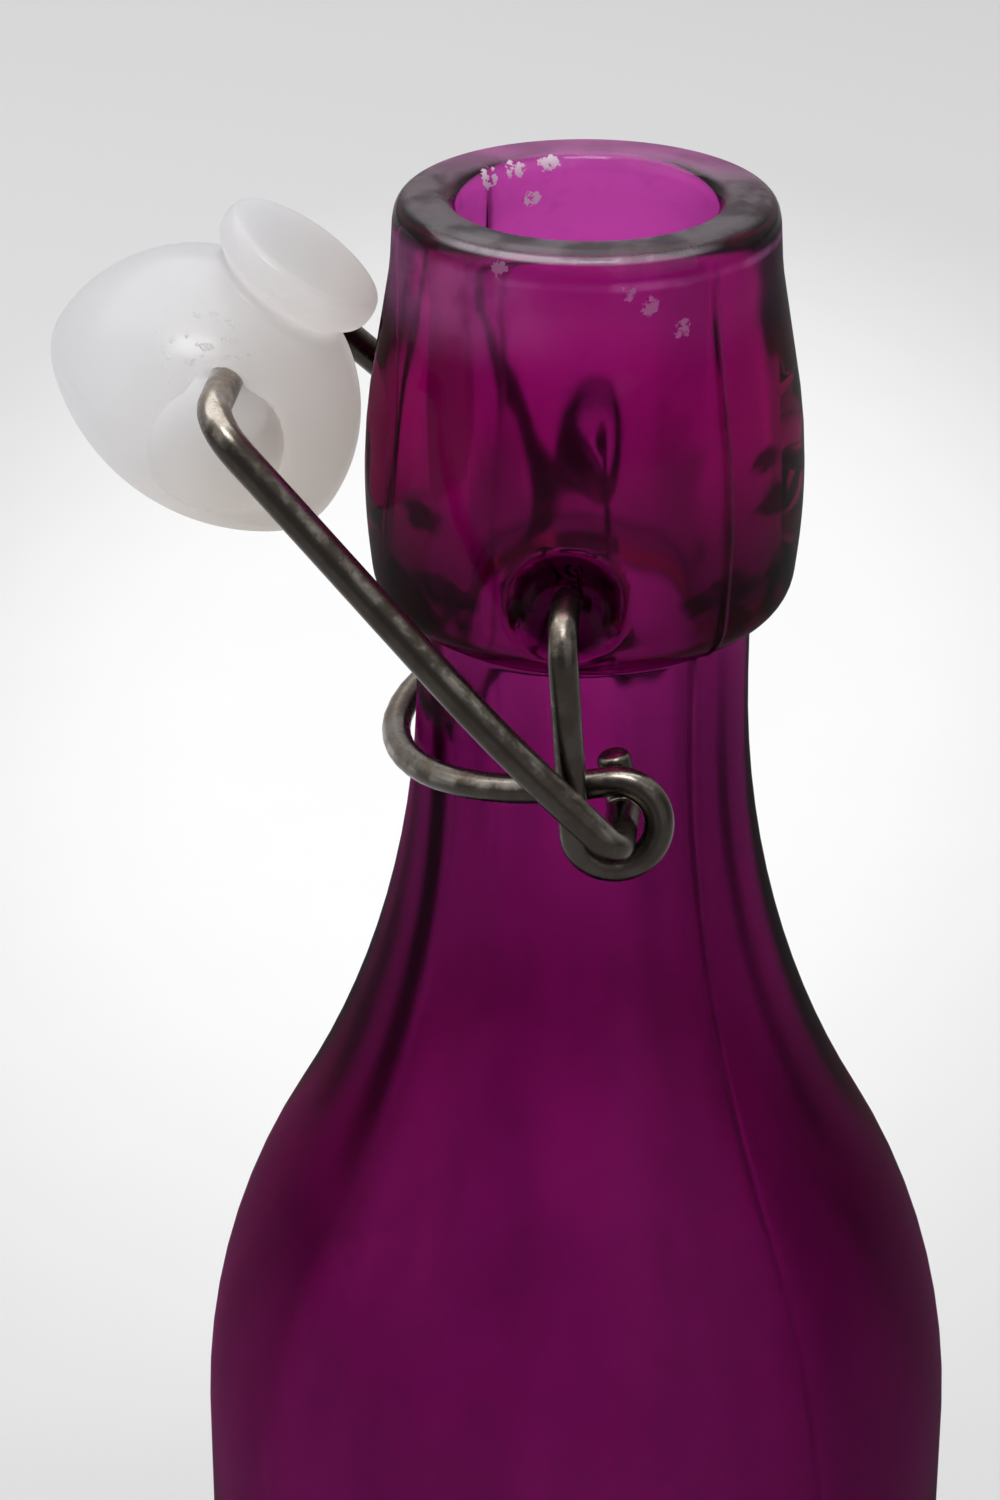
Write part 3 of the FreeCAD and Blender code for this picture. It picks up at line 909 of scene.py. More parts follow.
@dataclass
class Stopper:
    """The stopper: a turned crown, stem and disc with a flared cross hole, all edges moulded soft."""

    crown_height: float = 6.9 * MM
    edge_radius: float = 3.2 * MM
    radius: float = 12.3 * MM
    under_radius: float = 12.2 * MM
    under_angle: float = math.radians(64)
    stem_radius: float = 5 * MM
    stem_length: float = 0.2 * MM
    disc_radius: float = 6.6 * MM
    disc_flare: float = 0.8 * MM
    disc_rim: float = 2.6 * MM
    disc_dish: float = 0.35 * MM
    disc_bulge: float = 2.6 / 6 * MM
    hole_radius: float = 2.1 * MM
    crosspiece_offset: float = 6.2 * MM
    hole_drop: float = 0.55 * MM
    flare_mouth: float = 4.5 * MM
    flare_waist: float = 2.6 * MM
    flare_offset: float = 2.6 * MM
    flare_across: float = 2.1 * MM
    flare_start: float = 2.5 * MM
    flare_end: float = 13.55 * MM
    flare_round: float = 16 * MM
    flare_step: float = 1 * MM
    tilt: float = math.radians(34.6)
    voxel: float = 0.22 * MM
    smooth_share: float = 0.5
    smooth_passes: int = 14
    outline_step: float = 0.25 * MM
    turns: int = 160
    cutter_turns: int = 64

    def outline(self) -> list[Point]:
        """The crown, stem and disc as they are turned, from the crown's top to the disc's middle.

        Returns:
            Dense (radius, height) points.
        """
        offset = self.radius - self.edge_radius
        rise = self.crown_height
        crown = (rise**2 + offset**2 - self.edge_radius**2) / (2 * (rise - self.edge_radius))
        share = crown / (crown - self.edge_radius)
        join = (offset * share, crown - (crown - rise) * share)
        cosine, sine = math.cos(self.under_angle), math.sin(self.under_angle)
        under_offset = self.radius - self.under_radius
        under = (under_offset + self.under_radius * cosine, rise + self.under_radius * sine)
        saddle = (under[0] - self.stem_radius) / (1 - cosine)
        stem = (self.stem_radius, under[1] + saddle * sine)
        disc_edge = self.disc_radius - self.disc_bulge
        disc_under = stem[1] + self.stem_length + self.disc_flare
        rim_radius = ((self.disc_rim / 2) ** 2 + self.disc_bulge**2) / (2 * self.disc_bulge)
        face = disc_under + self.disc_rim
        dish = (disc_edge**2 + self.disc_dish**2) / (2 * self.disc_dish)
        outline = Outline([(0.0, 0.0)], self.outline_step)
        outline.arc(join, crown, Turn.LEFT)
        outline.arc((self.radius, rise), self.edge_radius, Turn.LEFT)
        outline.arc(under, self.under_radius, Turn.LEFT)
        outline.arc(stem, saddle, Turn.RIGHT)
        outline.line((self.stem_radius, stem[1] + self.stem_length))
        outline.line((disc_edge, disc_under))
        outline.arc((disc_edge, face), rim_radius, Turn.LEFT)
        outline.arc((0.0, face - self.disc_dish), dish, Turn.RIGHT)
        return outline.points

    def cutter(self, outline: list[Point], across: float, height: float, name: str) -> bpy.types.Object:
        """A turned cutter that lies along Y.

        Args:
            outline: its (radius, length) points.
            across: how far its axis lies beside the stopper's axis.
            height: the height of its axis.
            name: its name.

        Returns:
            The cutter's object.
        """
        lathe = Lathe(name, outline)
        piece = lathe.draw()
        lathe.turn(piece, [(2 * math.pi, self.cutter_turns)])
        Bench.settle(piece, Matrix.Translation((across, 0, height)) @ Matrix.Rotation(-math.pi / 2, 4, "X"))
        return piece

    def cut(self, piece: bpy.types.Object, cutter: bpy.types.Object) -> None:
        """Cut a cutter's shape out of the stopper and throw the cutter away.

        Args:
            piece: the stopper.
            cutter: the shape to take away.
        """
        cut = piece.modifiers.new("cut", "BOOLEAN")
        cut.operation = "DIFFERENCE"
        cut.solver = "EXACT"
        cut.object = cutter
        Bench.apply(piece, cut)
        bpy.data.objects.remove(cutter)

    def build(self, crosspiece: Vector) -> bpy.types.Object:
        """Turn the stopper, drill and flare it, soften it and hang it on the crosspiece.

        Args:
            crosspiece: where the bail carries it.

        Returns:
            The stopper's object.
        """
        lathe = Lathe("stopper_moulding", self.outline())
        piece = lathe.draw()
        lathe.turn(piece, [(2 * math.pi, self.turns)])
        level = self.crown_height + self.crosspiece_offset
        long = 2 * self.radius
        bore = [(0.0, -long), (self.hole_radius, -long), (self.hole_radius, long), (0.0, long)]
        self.cut(piece, self.cutter(bore, 0.0, level - self.hole_drop, "bore_cutter"))
        axis = self.crown_height + self.flare_offset
        flare = Outline([(0.0, self.flare_end)], self.flare_step)
        flare.line((self.flare_mouth, self.flare_end))
        flare.arc((self.flare_waist, self.flare_start), self.flare_round, Turn.RIGHT)
        flare.line((0.0, self.flare_start))
        for side in (1, -1):
            outline = [(radius, side * length) for radius, length in flare.points]
            self.cut(piece, self.cutter(outline, self.flare_across, axis, "flare_cutter"))
        remesh = piece.modifiers.new("mould", "REMESH")
        remesh.mode = "VOXEL"
        remesh.voxel_size = self.voxel
        Bench.apply(piece, remesh)
        soft = piece.modifiers.new("soft", "SMOOTH")
        soft.factor = self.smooth_share
        soft.iterations = self.smooth_passes
        Bench.apply(piece, soft)
        hang = Matrix.Translation(crosspiece) @ Matrix.Rotation(self.tilt, 4, "Y")
        Bench.settle(piece, hang @ Matrix.Translation((0, 0, -level)))
        Bench.close(piece)
        return piece

    def dress(self, piece: bpy.types.Object) -> None:
        """Give the stopper its plastic and mount it."""
        Bench.coat(piece, PlasticFinish().material())
        Bench.mount(piece, Body.STOPPER, Slot.PLASTIC, "stopper")


# Finishes


def tone(red: float, green: float, blue: float) -> Colour:
    """A colour with full alpha."""
    return (red, green, blue, 1.0)


@dataclass
class NodeDesk:
    """Places and links the nodes of one material or group."""

    tree: bpy.types.NodeTree

    def add(self, kind: str, **settings: object) -> bpy.types.Node:
        """Place a node and set its own properties.

        Args:
            kind: the node's type.
            **settings: its properties by name.

        Returns:
            The node.
        """
        node = self.tree.nodes.new(kind)
        for name, value in settings.items():
            setattr(node, name, value)
        return node

    def put(self, value: object, socket: Socket) -> None:
        """Give one input a value or a link.

        Args:
            value: a number, a colour, a vector or a socket.
            socket: the input.
        """
        if isinstance(value, Socket):
            self.tree.links.new(value, socket)
        else:
            socket.default_value = value

    def feed(self, node: bpy.types.Node, **values: object) -> bpy.types.Node:
        """Give a node's inputs values or links, by their names with _ for a space.

        Args:
            node: the node.
            **values: numbers, colours or sockets by input name.

        Returns:
            The same node.
        """
        for name, value in values.items():
            self.put(value, node.inputs[name.replace("_", " ")])
        return node

    def attribute(self, name: str) -> Socket:
        """The value of a mesh attribute."""
        return self.add("ShaderNodeAttribute", attribute_name=name).outputs["Fac"]

    def math(self, operation: str, *values: object, clamp: bool = False) -> Socket:
        """A Math node on numbers or sockets.

        Args:
            operation: the node's operation.
            *values: its inputs in order.
            clamp: whether the result is held between 0 and 1.

        Returns:
            The result's socket.
        """
        node = self.add("ShaderNodeMath", operation=operation, use_clamp=clamp)
        for socket, value in zip(node.inputs, values):
            self.put(value, socket)
        return node.outputs[0]

    def fold(self, operation: str, *values: object) -> Socket:
        """One Math operation over a row of values, such as a sum or a product.

        Args:
            operation: the nodes' operation.
            *values: numbers or sockets.

        Returns:
            The last result's socket.
        """
        return reduce(partial(self.math, operation), values)

    def invert(self, value: Socket) -> Socket:
        """One less a share."""
        return self.math("SUBTRACT", 1.0, value)

    def span(self, operation: str, place: Socket, other: Place) -> Socket:
        """A number from two vectors, such as their distance.

        Args:
            operation: the Vector Math node's operation.
            place: the coordinates.
            other: the second vector.

        Returns:
            The number's socket.
        """
        node = self.add("ShaderNodeVectorMath", operation=operation)
        self.put(place, node.inputs[0])
        self.put(other, node.inputs[1])
        return node.outputs["Value"]

    def stretch(self, place: Socket, scale: Place) -> Socket:
        """Coordinates scaled along each axis.

        Args:
            place: the coordinates.
            scale: the scale along X, Y and Z.

        Returns:
            The scaled coordinates' socket.
        """
        return self.feed(self.add("ShaderNodeMapping"), Vector=place, Scale=scale).outputs["Vector"]

    def noise(self, place: Socket, scale: object, detail: float, roughness: float) -> Socket:
        """A noise value.

        Args:
            place: the coordinates.
            scale: the noise's scale, a number or a socket.
            detail: its detail.
            roughness: its roughness.

        Returns:
            The noise's socket.
        """
        node = self.add("ShaderNodeTexNoise")
        self.feed(node, Vector=place, Scale=scale, Detail=detail, Roughness=roughness)
        return node.outputs["Fac"]

    def ramp(self, value: Socket, ends: Point, results: Point = WHOLE) -> Socket:
        """Map a value from one range to another, with a smooth step.

        Args:
            value: the value to map.
            ends: the inputs that give the two results.
            results: the results at the two ends.

        Returns:
            The mapped socket.
        """
        node = self.add("ShaderNodeMapRange", interpolation_type="SMOOTHSTEP")
        self.feed(node, Value=value, From_Min=ends[0], From_Max=ends[1])
        self.feed(node, To_Min=results[0], To_Max=results[1])
        return node.outputs["Result"]

    def band(self, value: Socket, rise: Point, fall: Point) -> Socket:
        """A share that rises to 1 and falls off again.

        Args:
            value: the value along which it changes.
            rise: where it starts and ends to rise.
            fall: where it has fallen to 0, and where it starts to.

        Returns:
            The share's socket.
        """
        return self.math("MULTIPLY", self.ramp(value, rise), self.ramp(value, fall))

    def mix(self, share: object, first: object, second: object) -> Socket:
        """Mix two colours.

        Args:
            share: how much of the second.
            first: the first colour or socket.
            second: the second colour or socket.

        Returns:
            The colour's socket.
        """
        node = self.add("ShaderNodeMix", data_type="RGBA")
        factor, first_colour, second_colour, mixed = 0, 6, 7, 2
        for number, value in ((factor, share), (first_colour, first), (second_colour, second)):
            self.put(value, node.inputs[number])
        return node.outputs[mixed]

    def bump(self, height: Socket, strength: float, distance: float) -> Socket:
        """A bump normal.

        Args:
            height: the height value.
            strength: how strongly it shows.
            distance: the height of a full step, in metres.

        Returns:
            The normal's socket.
        """
        node = self.add("ShaderNodeBump")
        self.feed(node, Height=height, Strength=strength, Distance=distance)
        return node.outputs["Normal"]

    def blend(self, share: object, first: bpy.types.Node, second: bpy.types.Node) -> bpy.types.Node:
        """Mix two shaders.

        Args:
            share: how much of the second.
            first: the first shader's node.
            second: the second shader's node.

        Returns:
            The mixing node.
        """
        node = self.add("ShaderNodeMixShader")
        for socket, value in zip(node.inputs, (share, first.outputs[0], second.outputs[0])):
            self.put(value, socket)
        return node

    def wear(self, place: Socket, patch_scale: float, speck_scale: float) -> tuple[Socket, Socket]:
        """The shared wear group, set to one material's scales.

        Args:
            place: the coordinates.
            patch_scale: the scale of its patches.
            speck_scale: the scale of its specks.

        Returns:
            The patches' and the specks' sockets.
        """
        node = self.add("ShaderNodeGroup", node_tree=wear_group())
        self.feed(node, Vector=place, Patch_Scale=patch_scale, Speck_Scale=speck_scale)
        return node.outputs["Patches"], node.outputs["Specks"]

    def show(self, shader: bpy.types.Node) -> None:
        """Let a shader be the material's surface."""
        self.tree.links.new(shader.outputs[0], self.tree.nodes["Material Output"].inputs["Surface"])


def wear_group() -> bpy.types.NodeTree:
    """The slow patches and fine specks that break up every finish, made once.

    Returns:
        The node group.
    """
    name = "surface_wear"
    if name in bpy.data.node_groups:
        return bpy.data.node_groups[name]
    group = bpy.data.node_groups.new(name, "ShaderNodeTree")
    group.interface.new_socket("Vector", in_out="INPUT", socket_type="NodeSocketVector")
    for scale in ("Patch Scale", "Speck Scale"):
        group.interface.new_socket(scale, in_out="INPUT", socket_type="NodeSocketFloat")
    for mask in ("Patches", "Specks"):
        group.interface.new_socket(mask, in_out="OUTPUT", socket_type="NodeSocketFloat")
    desk = NodeDesk(group)
    given = desk.add("NodeGroupInput").outputs
    slow = desk.noise(given["Vector"], given["Patch Scale"], detail=5.0, roughness=0.62)
    fine = desk.noise(given["Vector"], given["Speck Scale"], detail=3.0, roughness=0.6)
    patches = desk.ramp(slow, PATCH_ENDS)
    specks = desk.ramp(fine, SPECK_ENDS)
    desk.feed(desk.add("NodeGroupOutput"), Patches=patches, Specks=specks)
    return group


def blank(name: str) -> tuple[bpy.types.Material, NodeDesk, bpy.types.Node, Socket]:
    """A new material with a plain shader and the object's coordinates.

    Args:
        name: the material's name.

    Returns:
        The material, its desk, its shader and the coordinates' socket.
    """
    material = bpy.data.materials.new(name)
    material.use_nodes = True
    desk = NodeDesk(material.node_tree)
    shader = material.node_tree.nodes["Principled BSDF"]
    place = desk.add("ShaderNodeTexCoord").outputs["Object"]
    return material, desk, shader, place


@dataclass(frozen=True)
class GlassMasks:
    """Where the effects of the glass show, as sockets of its material."""

    desk: NodeDesk
    place: Socket
    across: Socket
    back: Socket
    height: Socket
    coat: Socket
    blurred: Socket
    specks: Socket
    chip: Socket
    low: Socket
    edge: Socket
    top: Socket
    rear: Socket

    def uneven(self, shares: Point) -> Socket:
        """A share that wanders over the surface between two values."""
        return self.desk.ramp(self.blurred, WHOLE, shares)


@dataclass(frozen=True)
class GlassFinish:
    """Magenta glass under a thin sprayed tint, deeper down the body, worn off the lip and chipped, with
    painted shade, a painted highlight and a painted reflection.
    """

    collar_tint: Colour = tone(0.56, 0.062, 0.37)
    body_tint: Colour = tone(0.180, 0.0330, 0.135)
    # painted shade on the right side below the collar
    right_painted_shade: Colour = tone(0.060, 0.0080, 0.046)
    streak_tint: Colour = tone(0.270, 0.0430, 0.195)
    # painted shade in the pressed dimples
    dimple_painted_shade: Colour = tone(0.005, 0.0008, 0.003)
    shade_tint: Colour = tone(0.006, 0.0006, 0.004)
    seam_tint: Colour = tone(0.05, 0.005, 0.03)
    worn: Colour = tone(0.92, 0.74, 0.86)
    bore_tint: Colour = tone(0.67, 0.52, 0.73)
    clear: Colour = tone(0.90, 0.80, 0.88)
    # white of the crust in chips, also of the painted highlight along the lip
    crust_and_glint: Colour = tone(0.80, 0.70, 0.78)
    # pink of the painted reflection under the lip, of the band round the lip and of the lip top's back half
    blush: Colour = tone(0.92, 0.26, 0.72)
    ior: float = 1.5
    depth_colour: Colour = tone(0.81, 0.04, 0.68)
    depth_density: float = 250.0
    collar_still: float = 0.86
    body_still: float = 0.95
    lip_still: float = 0.3
    patch_scale: float = 260.0
    speck_scale: float = 900.0
    tint_turn: Point = (174 * MM, 146 * MM)
    bore_turn: Point = (171 * MM, 178 * MM)
    lip_edge: Point = (186 * MM, 187.8 * MM)
    lip_top: Point = (187.5 * MM, 187.9 * MM)
    lip_rear: Point = (1 * MM, 10 * MM)
    streak_scale: float = 120.0
    streak_stretch: Place = (1.0, 1.0, 0.08)
    streak_ends: Point = (0.36, 0.66)
    right_shade_reach: Point = (10 * MM, 29 * MM)
    right_shade_most: float = 0.65
    near_side: Point = (6 * MM, -6 * MM)
    dimple_shade_ends: Point = (0.05, 0.6)
    dimple_shade_most: float = 0.98
    seam_sharpness: float = 0.3
    seam_heights: Point = (105 * MM, 130 * MM)
    seam_foot: float = 0.3
    seam_rag: Point = (0.5, 1.0)
    wear_ends: Point = (0.0, 0.9)
    wear_least: float = 0.45
    polish: float = 0.03
    lip_haze: float = 0.30
    chip_haze: float = 0.6
    spray_haze: float = 0.16
    inner_haze: float = 0.09
    speck_haze: float = 0.05
    ripple_scale: float = 90.0
    ripple_strength: float = 0.12
    ripple_height: float = 0.4 * MM
    crust_shares: Point = (0.75, 0.12)
    lip_smear: Point = (0.02, 0.10)
    # pinker on the back half of the lip top
    rear_lip_pink: float = 0.14
    # painted reflection: a pink veil under the lip on the left
    painted_sheen_rise: Point = (178.5 * MM, 183 * MM)
    painted_sheen_fall: Point = (186.8 * MM, 185.5 * MM)
    painted_sheen_side: Point = (2 * MM, -10 * MM)
    painted_sheen_shares: Point = (0.02, 0.16)
    painted_sheen_rag: Point = (0.5, 1.0)
    # painted highlight: a thin white line along the front lip edge
    glint_rise: Point = (187.15 * MM, 187.4 * MM)
    glint_fall: Point = (187.75 * MM, 187.55 * MM)
    glint_side: Point = (-8.5 * MM, -12.5 * MM)
    glint_most: float = 0.42
    glint_rag: Point = (0.55, 1.0)
    ridge_rise: Point = (185.1 * MM, 185.6 * MM)
    ridge_fall: Point = (186.2 * MM, 185.7 * MM)
    ridge_shares: Point = (0.04, 0.17)
    blush_turn: Point = (187 * MM, 186.5 * MM)
    # painted shade in blots and in a band low on the collar
    shade_blot_squash: float = 1.7
    shade_blot_scale: float = 420.0
    shade_blot_rag: float = 0.24
    rag_ends: Point = (0.3, 0.7)
    shade_blot_ends: Point = (0.05, 0.75)
    shade_blot_most: float = 0.97
    shade_band_rise: Point = (155.2 * MM, 157.5 * MM)
    shade_band_fall: Point = (168 * MM, 161 * MM)
    shade_band_sides: Point = (3 * MM, 12.5 * MM)
    shade_band_shares: Point = (0.30, 0.72)
    shade_blots: tuple[Spot, ...] = (
        ((-0.0108, -0.0122, 0.1674), 0.0042),
        ((-0.0090, -0.0134, 0.1616), 0.0050),
        ((-0.0127, -0.0099, 0.1612), 0.0046),
        ((0.0137, -0.0084, 0.1710), 0.0028),
        ((0.0145, -0.0074, 0.1677), 0.0040),
        ((0.0119, -0.0109, 0.1619), 0.0052),
        ((0.0147, -0.0066, 0.1612), 0.0048),
        ((0.0092, -0.0132, 0.1616), 0.0034),
    )
    flake_scale: float = 1300.0
    flake_ends: Point = (0.40, 0.46)
    chips: tuple[Spot, ...] = (
        ((0.0040, -0.0137, 0.1851), 0.0014),
        ((0.0055, -0.0132, 0.1841), 0.0016),
        ((0.0078, -0.0122, 0.1822), 0.0015),
        ((-0.0050, -0.0131, 0.1866), 0.0018),
        ((-0.0076, 0.0057, 0.1870), 0.0020),
        ((-0.0058, 0.0075, 0.1872), 0.0018),
        ((-0.0036, 0.0088, 0.1872), 0.0020),
        ((-0.0048, 0.0082, 0.1847), 0.0014),
    )

    def nearness(self, desk: NodeDesk, place: Socket, spots: tuple[Spot, ...]) -> Socket:
        """How near a place lies to the nearest of some spots.

        Args:
            desk: the material's desk.
            place: the coordinates.
            spots: the middle and the reach of each.

        Returns:
            A share, 1 at a middle and 0 out of reach.
        """
        shares = [desk.ramp(desk.span("DISTANCE", place, centre), (reach, 0.0)) for centre, reach in spots]
        return desk.fold("MAXIMUM", *shares)

    def chip_mask(self, desk: NodeDesk, place: Socket) -> Socket:
        """Where the tint is chipped off or a white crust sticks.

        Args:
            desk: the material's desk.
            place: the coordinates.

        Returns:
            A share from 0 to 1.
        """
        flakes = desk.noise(place, self.flake_scale, detail=4.0, roughness=0.6)
        near = desk.math("SQRT", self.nearness(desk, place, self.chips))
        return desk.ramp(desk.math("MULTIPLY", near, flakes), self.flake_ends)

    def masks(self, desk: NodeDesk, place: Socket) -> GlassMasks:
        """Work out where the effects show.

        Args:
            desk: the material's desk.
            place: the coordinates.

        Returns:
            The masks.
        """
        across, back, height = desk.feed(desk.add("ShaderNodeSeparateXYZ"), Vector=place).outputs
        blur = desk.noise(place, self.patch_scale, detail=4.0, roughness=0.6)
        return GlassMasks(
            desk=desk,
            place=place,
            across=across,
            back=back,
            height=height,
            coat=desk.attribute("coat"),
            blurred=desk.ramp(blur, PATCH_ENDS),
            specks=desk.wear(place, self.patch_scale, self.speck_scale)[1],
            chip=self.chip_mask(desk, place),
            low=desk.ramp(height, self.tint_turn),
            edge=desk.ramp(height, self.lip_edge),
            top=desk.ramp(height, self.lip_top),
            rear=desk.ramp(back, self.lip_rear),
        )

    def painted_shade_mask(self, masks: GlassMasks) -> Socket:
        """Where shade is painted: in a band low on the collar that darkens towards its two sides, and in
        ragged blots on those sides.

        Args:
            masks: the glass's masks.

        Returns:
            A share from 0 to 1.
        """
        desk = masks.desk
        flat = desk.stretch(masks.place, (1.0, 1.0, self.shade_blot_squash))
        spots = tuple(((x, y, z * self.shade_blot_squash), reach) for (x, y, z), reach in self.shade_blots)
        rag = desk.noise(flat, self.shade_blot_scale, detail=5.0, roughness=0.65)
        edges = desk.ramp(rag, self.rag_ends, (-self.shade_blot_rag, self.shade_blot_rag))
        ragged = desk.math("ADD", self.nearness(desk, flat, spots), edges)
        shade_blots = desk.ramp(ragged, self.shade_blot_ends, (0.0, self.shade_blot_most))
        # painted shade in a band low on the collar, stronger towards its sides
        runs = desk.band(masks.height, self.shade_band_rise, self.shade_band_fall)
        aside = desk.ramp(desk.math("ABSOLUTE", masks.across), self.shade_band_sides, self.shade_band_shares)
        return desk.math("MAXIMUM", shade_blots, desk.math("MULTIPLY", runs, aside))

    def sprayed(self, masks: GlassMasks) -> Socket:
        """The colour of the sprayed outside, with painted shade low on the collar, on the right side below
        it and in the dimples.

        Args:
            masks: the glass's masks.

        Returns:
            The colour's socket.
        """
        desk = masks.desk
        tall = desk.stretch(masks.place, self.streak_stretch)
        runs = desk.noise(tall, self.streak_scale, detail=3.0, roughness=0.5)
        streaks = desk.ramp(runs, self.streak_ends)
        body = desk.mix(streaks, self.body_tint, self.streak_tint)
        tint = desk.mix(masks.low, self.collar_tint, body)
        tint = desk.mix(self.painted_shade_mask(masks), tint, self.shade_tint)
        # painted shade on the right side below the collar
        right = desk.ramp(masks.across, self.right_shade_reach, (0.0, self.right_shade_most))
        tint = desk.mix(desk.math("MULTIPLY", right, masks.low), tint, self.right_painted_shade)
        # painted shade in the dimples, fuller on the near side
        near = desk.ramp(masks.back, self.near_side, (0.0, self.dimple_shade_most))
        dimple_shade = desk.ramp(desk.attribute("dimple_shade"), self.dimple_shade_ends)
        tint = desk.mix(desk.math("MULTIPLY", dimple_shade, near), tint, self.dimple_painted_shade)
        seam = desk.math("POWER", desk.attribute("seam"), self.seam_sharpness)
        fading = desk.ramp(masks.height, self.seam_heights, (self.seam_foot, 1.0))
        seam = desk.fold("MULTIPLY", seam, masks.uneven(self.seam_rag), fading)
        tint = desk.mix(seam, tint, self.seam_tint)
        patchy = desk.ramp(masks.blurred, self.wear_ends, (self.wear_least, 1.0))
        return desk.mix(desk.math("MULTIPLY", masks.edge, patchy), tint, self.worn)

    def roughness(self, masks: GlassMasks) -> Socket:
        """How dull the glass is.

        Args:
            masks: the glass's masks.

        Returns:
            The roughness's socket.
        """
        desk = masks.desk
        lip = desk.math("MULTIPLY", masks.top, self.lip_haze)
        haze = desk.math("MAXIMUM", lip, desk.math("MULTIPLY", masks.chip, self.chip_haze))
        spray = desk.fold("MULTIPLY", masks.low, masks.coat, self.spray_haze)
        inner = desk.math("MULTIPLY", desk.invert(masks.coat), self.inner_haze)
        specks = desk.math("MULTIPLY", masks.specks, self.speck_haze)
        return desk.fold("ADD", haze, spray, inner, specks, self.polish)

    def crust_and_painted_light_share(self, masks: GlassMasks) -> Socket:
        """How thickly residue lies on the glass, in chips, on the lip top and in a pale band round the lip,
        with a painted highlight along the front lip edge and a painted reflection under the lip on the
        left.

        Args:
            masks: the glass's masks.

        Returns:
            A share from 0 to 1.
        """
        desk = masks.desk
        thick = desk.math("MULTIPLY", masks.chip, desk.ramp(masks.coat, WHOLE, self.crust_shares))
        lip = desk.math("MULTIPLY", masks.top, masks.uneven(self.lip_smear))
        rear = desk.fold("MULTIPLY", masks.top, masks.rear, self.rear_lip_pink)
        # painted reflection under the lip on the left
        left = desk.ramp(masks.across, self.painted_sheen_side, self.painted_sheen_shares)
        haze = desk.band(masks.height, self.painted_sheen_rise, self.painted_sheen_fall)
        haze = desk.fold("MULTIPLY", haze, left, masks.uneven(self.painted_sheen_rag), masks.coat)
        # painted highlight along the front lip edge
        front = desk.ramp(masks.back, self.glint_side, (0.0, self.glint_most))
        glint = desk.band(masks.height, self.glint_rise, self.glint_fall)
        glint = desk.fold("MULTIPLY", glint, front, masks.coat, masks.uneven(self.glint_rag))
        ridge = desk.band(masks.height, self.ridge_rise, self.ridge_fall)
        ridge = desk.fold("MULTIPLY", ridge, masks.coat, masks.uneven(self.ridge_shares))
        return desk.fold("MAXIMUM", desk.fold("ADD", lip, rear, haze), ridge, glint, thick)

    def crust_and_painted_light_colour(self, masks: GlassMasks) -> Socket:
        """The colour of what lies on the glass: white in chips and in the painted highlight, pink in the
        painted reflection and the band under the lip top, and on the lip top's back half.

        Args:
            masks: the glass's masks.

        Returns:
            The colour's socket.
        """
        desk = masks.desk
        rear = desk.math("MULTIPLY", masks.top, masks.rear)
        pink = desk.math("MAXIMUM", rear, desk.ramp(masks.height, self.blush_turn))
        return desk.mix(desk.math("MULTIPLY", pink, desk.invert(masks.chip)), self.crust_and_glint, self.blush)

    def stillness(self, masks: GlassMasks) -> Socket:
        """How much of the outside only lets light through, without a mirror image.

        Args:
            masks: the glass's masks.

        Returns:
            A share from 0 to 1, 0 on the wall's back faces.
        """
        desk = masks.desk
        outer = desk.invert(desk.add("ShaderNodeNewGeometry").outputs["Backfacing"])
        still = desk.ramp(masks.low, WHOLE, (self.collar_still, self.body_still))
        lip = desk.math("MULTIPLY", masks.edge, self.collar_still - self.lip_still)
        return desk.math("MULTIPLY", desk.math("SUBTRACT", still, lip), outer)

    def material(self) -> bpy.types.Material:
        """Mix the finish.

        Returns:
            The glass material.
        """
        material, desk, shader, place = blank(Slot.GLASS.value)
        masks = self.masks(desk, place)
        bare = desk.mix(desk.ramp(masks.height, self.bore_turn), self.clear, self.bore_tint)
        wall = desk.mix(masks.coat, bare, self.sprayed(masks))
        colour = desk.mix(masks.chip, wall, self.crust_and_glint)
        ripples = desk.noise(place, self.ripple_scale, detail=2.0, roughness=0.4)
        surface = {
            "Roughness": self.roughness(masks),
            "IOR": self.ior,
            "Normal": desk.bump(ripples, self.ripple_strength, self.ripple_height),
        }
        desk.feed(shader, Base_Color=colour, Transmission_Weight=1.0, **surface)
        root = desk.feed(desk.add("ShaderNodeGamma"), Color=colour, Gamma=0.5)
        through = desk.feed(desk.add("ShaderNodeBsdfRefraction"), Color=root.outputs["Color"], **surface)
        glass = desk.blend(self.stillness(masks), shader, through)
        # a diffuse layer for crust in chips, a painted highlight on the lip and a painted reflection under
        # it
        crust_and_glint = desk.feed(desk.add("ShaderNodeBsdfDiffuse"), Color=self.crust_and_painted_light_colour(masks))
        desk.show(desk.blend(self.crust_and_painted_light_share(masks), glass, crust_and_glint))
        depth = desk.add("ShaderNodeVolumeAbsorption")
        desk.feed(depth, Color=self.depth_colour, Density=self.depth_density)
        output = material.node_tree.nodes["Material Output"]
        desk.tree.links.new(depth.outputs["Volume"], output.inputs["Volume"])
        return material


